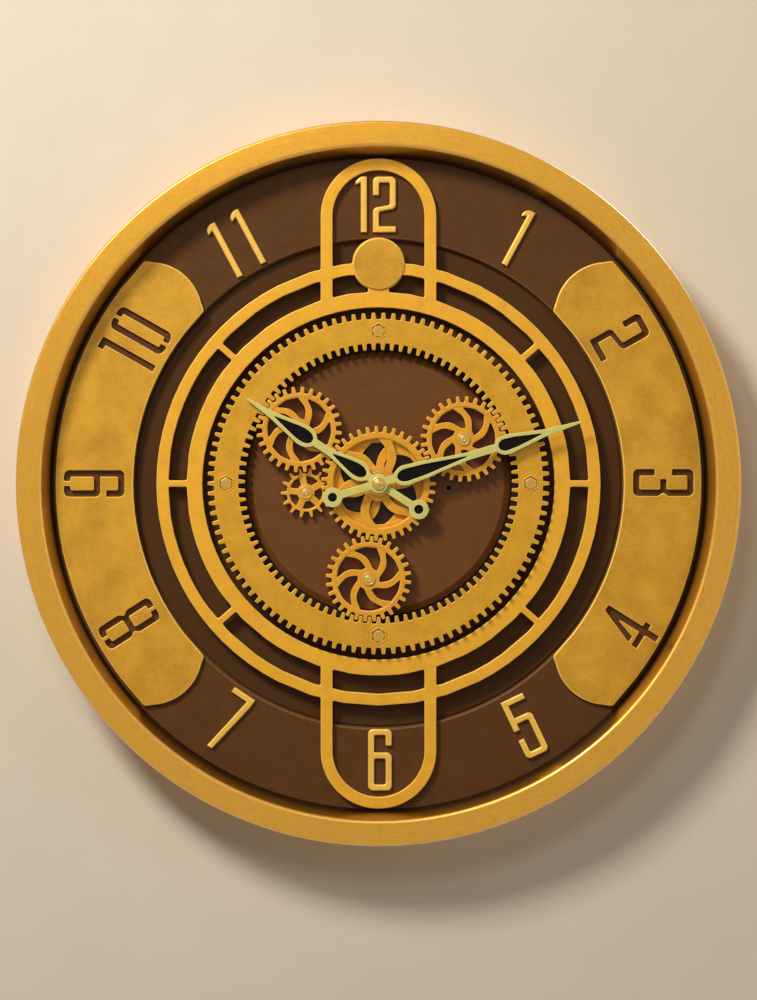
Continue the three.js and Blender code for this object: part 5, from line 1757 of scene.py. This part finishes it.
@dataclass(frozen=True)
class Hands:
    """Hour and minute hands with black inlays, and the cap nut.

    A hand's outlines are counted by size, from 0; the tail's opening is the one of tail_outline.
    """

    shop: Workshop
    sheet: float = 1.2
    edge: Edge = Edge(0.4, 0.35)
    inlay_sheet: float = 0.4
    inlay_drop: float = 0.7
    inlay_edge: Edge = Edge(0.1, 0.1, 1)
    rounds: Point = (0.3, 0.9)
    inlay_rounds: Point = (0.2, 0.3)
    tail_outline: int = 3
    tail_disc: float = 5.2
    hour_back: float = 45.4
    minute_back: float = 49.0
    arbor_back: float = 19.2
    arbor_radius: float = 1.6
    arbor_front: float = 51.9
    tube: Point = (1.9, 2.6)
    tube_front: float = 46.9
    nut: tuple[Spot, ...] = (
        (1.9, 50.5, 0.1), (5.6, 50.5, 0.15), (5.6, 51.2, 0.3), (4.6, 51.5, 0.2),
        (4.4, 51.3, 0.1), (4.0, 51.3, 0.1), (3.7, 52.2, 0.3), (2.6, 52.7, 0.4),
        (2.2, 52.6, 0.2), (1.7, 53.6, 0.5), (0.6, 53.9, 0.3), (0, 53.9, 0), (0, 52.2, 0),
        (1.9, 52.2, 0))

    def build(self) -> None:
        """Make every piece."""
        self.make_hand("hour", self.hour_back)
        self.make_hand("minute", self.minute_back)
        self.make_cap_nut()
        self.make_arbors()

    def make_hand(self, body: str, back: float) -> None:
        """Hand with its openings, and its inlay with a disc behind the tail's ring.

        Args:
            body: body of the hand, which also names it.
            back: level of its rear face.
        """
        node, front = f"{body}_hand", back + self.sheet
        hand = traced_plate(node, back, front, self.edge, *self.rounds)
        self.shop.deliver(f"{node}_shown", hand, Slot.HAND, body, node)
        foot = back - self.inlay_drop
        face = foot + self.inlay_sheet
        inlay = traced_plate(f"{node}_backing", foot, face, self.inlay_edge, *self.inlay_rounds)
        tail = traced(node, front)[self.tail_outline]
        middle = (sum(p[0] for p in tail) / len(tail), sum(p[1] for p in tail) / len(tail))
        inlay.rod(self.tail_disc, foot, face, middle, rounding=0.1)
        self.shop.deliver(f"{body}_inlay", inlay, Slot.INLAY, body, f"{node}_backing")

    def make_arbors(self) -> None:
        """Hour tube and minute arbor that carry the hands."""
        tube = Sketch().tube(*self.tube, self.arbor_back, self.tube_front, 40,
                             (0.1, 0.1, 0.2, 0.15))
        self.shop.deliver("hour_tube_shown", tube, Slot.STEEL, "hour", "hour_tube")
        arbor = Sketch().rod(self.arbor_radius, self.arbor_back, self.arbor_front)
        self.shop.deliver("minute_arbor_shown", arbor, Slot.STEEL, "minute", "minute_arbor")

    def make_cap_nut(self) -> None:
        """Polished dome with a collar and a small tip."""
        nut = Sketch().turned([*self.nut], 64)
        self.shop.deliver("cap_nut_shown", nut, Slot.BRASS, "minute", "cap_nut")


@dataclass(frozen=True)
class Mechanism:
    """Quartz movement, gear motor, their cells, the knob, the switch and the hanger."""

    shop: Workshop
    shaft: Point
    front: float = 20.7
    case_corner: float = 4.0
    case_edge: Edge = Edge(0.8, 0.8, 4)
    bay_edge: Edge = Edge(0.3, 0.3, 2)
    bay_width: float = 50.7
    bay_tall: float = 15.4
    cell_steps: int = 32
    movement_half: float = 28.0
    movement_back: float = 4.7
    movement_bay: Point = (0.0, -15.5)
    movement_floor: float = 20.0
    movement_cell: float = 12.1
    movement_ribs: tuple[Point, ...] = ((-20.0, 22.5), (20.0, 22.5))
    rib_size: Point = (6.0, 1.0)
    rib_levels: Point = (4.4, 5.2)
    marks: int = 24
    mark_span: Point = (9.6, 12.2)
    mark_half: float = 0.4
    mark_levels: Point = (4.4, 5.0)
    bush: Point = (2.9, 4.0)
    bush_levels: Point = (19.0, 27.3)
    nut_radius: float = 6.3
    nut_bore: float = 4.3
    nut_levels: Point = (24.3, 26.3)
    knob: Point = (0.0, 14.0)
    knob_hole: float = 2.3
    knob_floor: float = 8.5
    knob_head: tuple[Spot, ...] = ((0, 1.8, 0), (5.6, 1.8, 0.5), (5.9, 4.4, 0.2), (0, 4.4, 0))
    knob_stem: tuple[float, float, float] = (2.0, 4.2, 8.1)
    knob_ridges: int = 18
    knob_ridge: tuple[float, ...] = (5.4, 6.5, -0.55, 0.55)
    knob_ridge_levels: Point = (1.9, 4.4)
    motor_half: Point = (35.0, 30.0)
    motor_drop: float = 8.7
    motor_back: float = 3.2
    motor_floor: float = 18.6
    motor_cell: float = 10.6
    motor_wall: float = 2.2
    motor_rib: Point = (48.0, 0.8)
    motor_rib_back: float = 8.0
    slots: int = 5
    slot_start: Point = (-27.0, 12.0)
    slot_size: Point = (2.0, 13.0)
    slot_pitch: float = 4.0
    slot_floor: float = 5.0
    switch_slot: Point = (23.5, 21.0)
    switch_slot_size: Point = (10.0, 4.6)
    switch_floor: float = 5.8
    switch: Point = (22.0, 21.0)
    switch_size: Point = (6.4, 4.0)
    switch_levels: Point = (2.2, 5.5)
    ridge_size: Point = (0.6, 3.8)
    ridge_pitch: float = 1.6
    ridge_levels: Point = (1.6, 2.4)
    cell_section: tuple[Spot, ...] = (
        (-24.75, 0.0, 0), (-24.75, 6.2, 0.3), (-24.5, 6.9, 1), (-24.2, 7.1, 0), (22.9, 7.1, 0),
        (23.4, 6.9, 1), (23.6, 6.3, 0.3), (23.75, 2.7, 0), (24.6, 2.7, 0.3), (24.75, 2.5, 1),
        (24.75, 0.0, 0))
    contact: Point = (25.0, 25.3)
    contact_half: Point = (4.0, 5.0)
    hanger_low: float = 228.0
    hanger_high: float = 252.0
    hanger_bend: float = 27.8
    hanger_back: float = 3.0
    hanger_front: float = 4.5
    hanger_leg: Point = (28.5, 30.0)
    hanger_reach: float = 42.0
    hanger_foot: Point = (25.2, 26.7)
    hanger_screws: Point = (-36.0, 36.0)
    hanger_screw_levels: Point = (24.9, 28.5)

    @property
    def motor(self) -> Point:
        """Middle of the motor case, below its shaft."""
        return self.shaft[0], self.shaft[1] - self.motor_drop

    @property
    def motor_bay(self) -> Point:
        """Middle of the motor's bay for two cells, above the case's lower wall."""
        x, y = self.motor
        return x, y - self.motor_half[1] + self.bay_tall + self.motor_wall

    def build(self) -> None:
        """Make every piece."""
        self.make_movement()
        self.make_motor()
        self.make_cells()
        self.make_knob()
        self.make_switch()
        self.make_hanger()

    def housing(self, outline: Outline, back: float,
                openings: list[tuple[Outline, float]]) -> Sketch:
        """Moulded box seen from behind, with sunk openings.

        Args:
            outline: outer outline, anticlockwise, with sharp corners.
            back: level of the face towards the wall.
            openings: anticlockwise outline and floor level of each sunk opening.

        Returns:
            The sketch.
        """
        sketch = Sketch()
        shape = filleted(outline, self.case_corner, self.case_corner, 8)
        rows = sketch.rear_wall(shape, back, self.front, self.case_edge)
        sketch.cap([rows[0]], 1)
        tops = [rows[-1]]
        for opening, floor in openings:
            lip = sketch.rear_wall(opening[::-1], back, floor, self.bay_edge)
            sketch.cap([lip[0]], -1)
            tops.append(lip[-1])
        sketch.cap(tops, -1)
        return sketch

    def make_movement(self) -> None:
        """Movement case with its cell bay, ribs, knob recess and threaded bush."""
        half = self.movement_half
        bay = box_about(self.movement_bay, self.bay_width, self.bay_tall)
        box = self.housing(rectangle(-half, half, -half, half), self.movement_back,
                           [(bay, self.movement_floor),
                            (circle(self.knob_hole, 24, self.knob), self.knob_floor)])
        for place in self.movement_ribs:
            box.block(box_about(place, *self.rib_size), *self.rib_levels, 0.15)
        mark = rectangle(*self.mark_span, -self.mark_half, self.mark_half)
        marks = self.shop.repeat("movement_marks", Sketch().block(mark, *self.mark_levels, 0.15),
                                 Slot.BLACK, self.marks, centre=self.knob)
        bush = Sketch().tube(*self.bush, *self.bush_levels, 48, (0, 0, 0.4, 0.2))
        self.shop.deliver("movement", [box, marks, bush], Slot.BLACK, "case", "movement_case")
        nut = Sketch().plate([
            Loop(filleted(circle(self.nut_radius, 6), 0.4, 0.4), Edge(0.4, 0.35)),
            Loop(circle(self.nut_bore, 40)[::-1], Edge(0.3, 0.3, 2))], *self.nut_levels)
        self.shop.deliver("bush_nut_shown", nut, Slot.BRASS, "case", "bush_nut")

    def make_motor(self) -> None:
        """Motor case with a bay for two cells and a rib between them, and its slots."""
        x, y = self.motor
        width, tall = self.motor_half
        bay = box_about(self.motor_bay, self.bay_width, 2 * self.bay_tall)
        slot = box_about((x + self.switch_slot[0], y + self.switch_slot[1]),
                         *self.switch_slot_size)
        openings = [(bay, self.motor_floor), (slot, self.switch_floor)]
        wide, long = self.slot_size
        foot = y + self.slot_start[1]
        for i in range(self.slots):
            left = x + self.slot_start[0] + i * self.slot_pitch
            openings.append((rectangle(left, left + wide, foot, foot + long), self.slot_floor))
        box = self.housing(rectangle(x - width, x + width, y - tall, y + tall), self.motor_back,
                           openings)
        box.block(box_about(self.motor_bay, *self.motor_rib), self.motor_rib_back,
                  self.motor_floor, 0.1)
        self.shop.deliver("motor", box, Slot.BLACK, "case", "motor_case")

    def make_cells(self) -> None:
        """Three AA cells with a contact plate at each end."""
        x, y = self.motor_bay
        half = self.bay_tall / 2
        self.make_cell("movement_cell", self.movement_bay, self.movement_cell)
        self.make_cell("motor_cell_upper", (x, y + half), self.motor_cell)
        self.make_cell("motor_cell_lower", (x, y - half), self.motor_cell)

    def make_cell(self, name: str, centre: Point, level: float) -> None:
        """One cell lying along x: can, bare ends and button, between two contact plates.

        Args:
            name: CAD node of the cell.
            centre: its middle.
            level: level of its axis.
        """
        x, y = centre
        can = Sketch()
        rows = []
        for place, radius, mask in self.cell_section:
            round_axis = circle(radius, self.cell_steps, (y, level))
            rows.append(can.row([(x + place, across, up) for across, up in round_axis],
                                [mask] * self.cell_steps))
        can.skin(rows)
        self.shop.deliver(f"{name}_shown", can, Slot.WRAP, "case", name)
        plates = Sketch()
        across, up = self.contact_half
        for side in (-1, 1):
            near, far = sorted(x + side * end for end in self.contact)
            plates.block(rectangle(near, far, y - across, y + across), level - up, level + up,
                         0.05)
        self.shop.deliver(f"{name}_contacts", plates, Slot.STEEL, "case")

    def make_knob(self) -> None:
        """Ridged setting knob."""
        core = Sketch().turned([*self.knob_head], 48, self.knob)
        core.rod(*self.knob_stem, self.knob, 24)
        ridge = Sketch().block(rectangle(*self.knob_ridge), *self.knob_ridge_levels, 0.2)
        ridges = self.shop.repeat("knob_ridges", ridge, Slot.GREY, self.knob_ridges,
                                  centre=self.knob)
        self.shop.deliver("knob", [core, ridges], Slot.GREY, "knob", "setting_knob")

    def make_switch(self) -> None:
        """Slide switch with three ridges."""
        x, y = (a + b for a, b in zip(self.motor, self.switch))
        slide = Sketch().block(box_about((x, y), *self.switch_size), *self.switch_levels, 0.2)
        for i in (-1, 0, 1):
            ridge = box_about((x + i * self.ridge_pitch, y), *self.ridge_size)
            slide.block(ridge, *self.ridge_levels, 0.12)
        self.shop.deliver("switch", slide, Slot.GREY, "switch", "power_switch")

    def make_hanger(self) -> None:
        """Hat-shaped bracket with a keyhole, and its two screws."""
        low, high, bend = self.hanger_low, self.hanger_high, self.hanger_bend
        back, front = self.hanger_back, self.hanger_front
        hole = next(item for item in traced("hanger_bracket", back) if area(item) < 0)
        web = [Loop(rectangle(-bend, bend, low, high)), Loop(smoothed(hole, OPENING_CORNER))]
        bracket = Sketch().plate(web, back, front)
        (inside, outside), (foot, seat) = self.hanger_leg, self.hanger_foot
        reach = self.hanger_reach
        half = [(bend, back, 0), (outside, back, 2.2), (outside, foot, 0.7), (reach, foot, 0.6),
                (reach, seat, 0.6), (inside, seat, 2.2), (inside, front, 0.7), (bend, front, 0)]
        bracket.bent(half, low, high)
        bracket.bent([(-x, level, rounding) for x, level, rounding in reversed(half)], low, high)
        self.shop.deliver("hanger", bracket, Slot.STEEL, "case", "hanger_bracket")
        for i, x in enumerate(self.hanger_screws, 1):
            name = f"hanger_screw_{i}"
            screw = pan_screw(*self.hanger_screw_levels, (x, (low + high) / 2))
            self.shop.deliver(f"{name}_shown", screw, Slot.STEEL, "case", name)


@dataclass(frozen=True)
class Lamp:
    """Round lamp that points at the middle of the clock, in metres and watts."""

    name: str
    place: Spot
    size: float
    power: float
    colour: Spot = (1.0, 0.97, 0.92)

    def light(self) -> None:
        """Set the lamp up."""
        lamp = bpy.data.lights.new(self.name, "AREA")
        lamp.shape = "DISK"
        lamp.size = self.size
        lamp.energy = self.power
        lamp.color = self.colour
        obj = bpy.data.objects.new(self.name, lamp)
        obj.location = self.place
        obj.rotation_mode = "QUATERNION"
        obj.rotation_quaternion = (-Vector(self.place)).to_track_quat("-Z", "Y")
        bpy.context.scene.collection.objects.link(obj)


@dataclass(frozen=True)
class Studio:
    """Pale wall, soft lamps and the camera, in metres."""

    distance: float = 2.5
    lens: float = 108.9
    sensor: float = 36.0
    clip: Point = (0.05, 50.0)
    drop: float = -0.0137
    wall_gap: float = 0.0002
    wall_half: float = 6.0
    wall_colour: Colour = (230, 216, 194)
    wall_shade: float = 0.93
    wall_roughness: float = 0.9
    plaster_scale: float = 22.0
    plaster_detail: float = 6.0
    plaster_bump: float = 0.12
    plaster_reach: float = 0.001
    world: float = 0.17
    world_seen: float = 0.9
    world_colour: tuple[float, ...] = (1.0, 0.985, 0.96, 1.0)
    lamps: tuple[Lamp, ...] = (
        Lamp("key", (-1.15, -1.5, 1.55), 0.6, 52.0), Lamp("fill", (2.4, -1.8, 0.4), 1.6, 8.0),
        Lamp("top", (-0.3, -1.9, 1.0), 0.5, 5.0), Lamp("back", (1.3, 1.9, 1.4), 1.0, 40.0))

    def build(self) -> None:
        """Make the wall, the lights and the camera."""
        bpy.context.scene.view_settings.view_transform = "Standard"
        self.make_wall()
        self.make_world()
        for lamp in self.lamps:
            lamp.light()
        self.make_camera()

    def make_wall(self) -> None:
        """Plain plastered wall, seen from the front alone; light passes to the clock's back."""
        y, half = WALL * MM + self.wall_gap, self.wall_half
        mesh = bpy.data.meshes.new("wall")
        corners = rectangle(-half, half, -half, half)
        mesh.from_pydata([(x, y, z) for x, z in corners], [], [(0, 1, 2, 3)])
        material = bpy.data.materials.new("wall_paint")
        material.use_nodes = True
        make = NodeTree(material.node_tree)
        place = make.add("ShaderNodeTexCoord").outputs["Object"]
        cloud = make.add("ShaderNodeTexNoise", {
            "Vector": place, "Scale": self.plaster_scale,
            "Detail": self.plaster_detail}).outputs[0]
        base = linear(self.wall_colour)
        darker = (*(c * self.wall_shade for c in base[:3]), 1.0)
        bump = make.add("ShaderNodeBump", {
            "Strength": self.plaster_bump, "Distance": self.plaster_reach, "Height": cloud})
        paint = make.add("ShaderNodeBsdfPrincipled", {
            "Base Color": make.mix(cloud, darker, base), "Roughness": self.wall_roughness,
            "Normal": bump.outputs[0]}).outputs[0]
        clear = make.add("ShaderNodeBsdfTransparent").outputs[0]
        behind = make.add("ShaderNodeNewGeometry").outputs["Backfacing"]
        camera = make.add("ShaderNodeLightPath").outputs["Is Camera Ray"]
        seen = make.math("MULTIPLY", make.math("SUBTRACT", 1.0, behind), camera)
        both = make.add("ShaderNodeMixShader", {0: seen, 1: clear, 2: paint}).outputs[0]
        make.add("ShaderNodeOutputMaterial", {"Surface": both})
        mesh.materials.append(material)
        wall = bpy.data.objects.new("wall", mesh)
        bpy.context.scene.collection.objects.link(wall)

    def make_world(self) -> None:
        """Even surroundings; what the camera, glass and metal see of them is paler."""
        world = bpy.data.worlds.new("studio")
        world.use_nodes = True
        bpy.context.scene.world = world
        make = NodeTree(world.node_tree)
        path = make.add("ShaderNodeLightPath").outputs
        straight = make.math("MAXIMUM", path["Is Camera Ray"], path["Is Transmission Ray"])
        seen = make.math("MAXIMUM", straight, path["Is Glossy Ray"])
        more = make.math("MULTIPLY", seen, self.world_seen - self.world)
        back = make.add("ShaderNodeBackground", {
            "Color": self.world_colour, "Strength": make.math("ADD", self.world, more)})
        make.add("ShaderNodeOutputWorld", {"Surface": back.outputs[0]})

    def make_camera(self) -> None:
        """Straight view of the dial."""
        data = bpy.data.cameras.new("camera")
        data.lens = self.lens
        data.sensor_width = self.sensor
        data.clip_start, data.clip_end = self.clip
        data.dof.use_dof = False
        camera = bpy.data.objects.new("camera", data)
        camera.location = (0.0, -WALL * MM - self.distance, self.drop)
        camera.rotation_euler = (math.pi / 2, 0.0, 0.0)
        bpy.context.scene.collection.objects.link(camera)
        bpy.context.scene.camera = camera


def main() -> None:
    """Dress the frame."""
    logging.basicConfig(level=logging.INFO)
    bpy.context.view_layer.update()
    shop = Workshop()
    train = GearTrain(shop)
    CaseAndDial(shop).build()
    DialPlates(shop).build()
    train.build()
    Hands(shop).build()
    Mechanism(shop, train.bottom.centre).build()
    Studio().build()


if __name__ == "__main__":
    main()
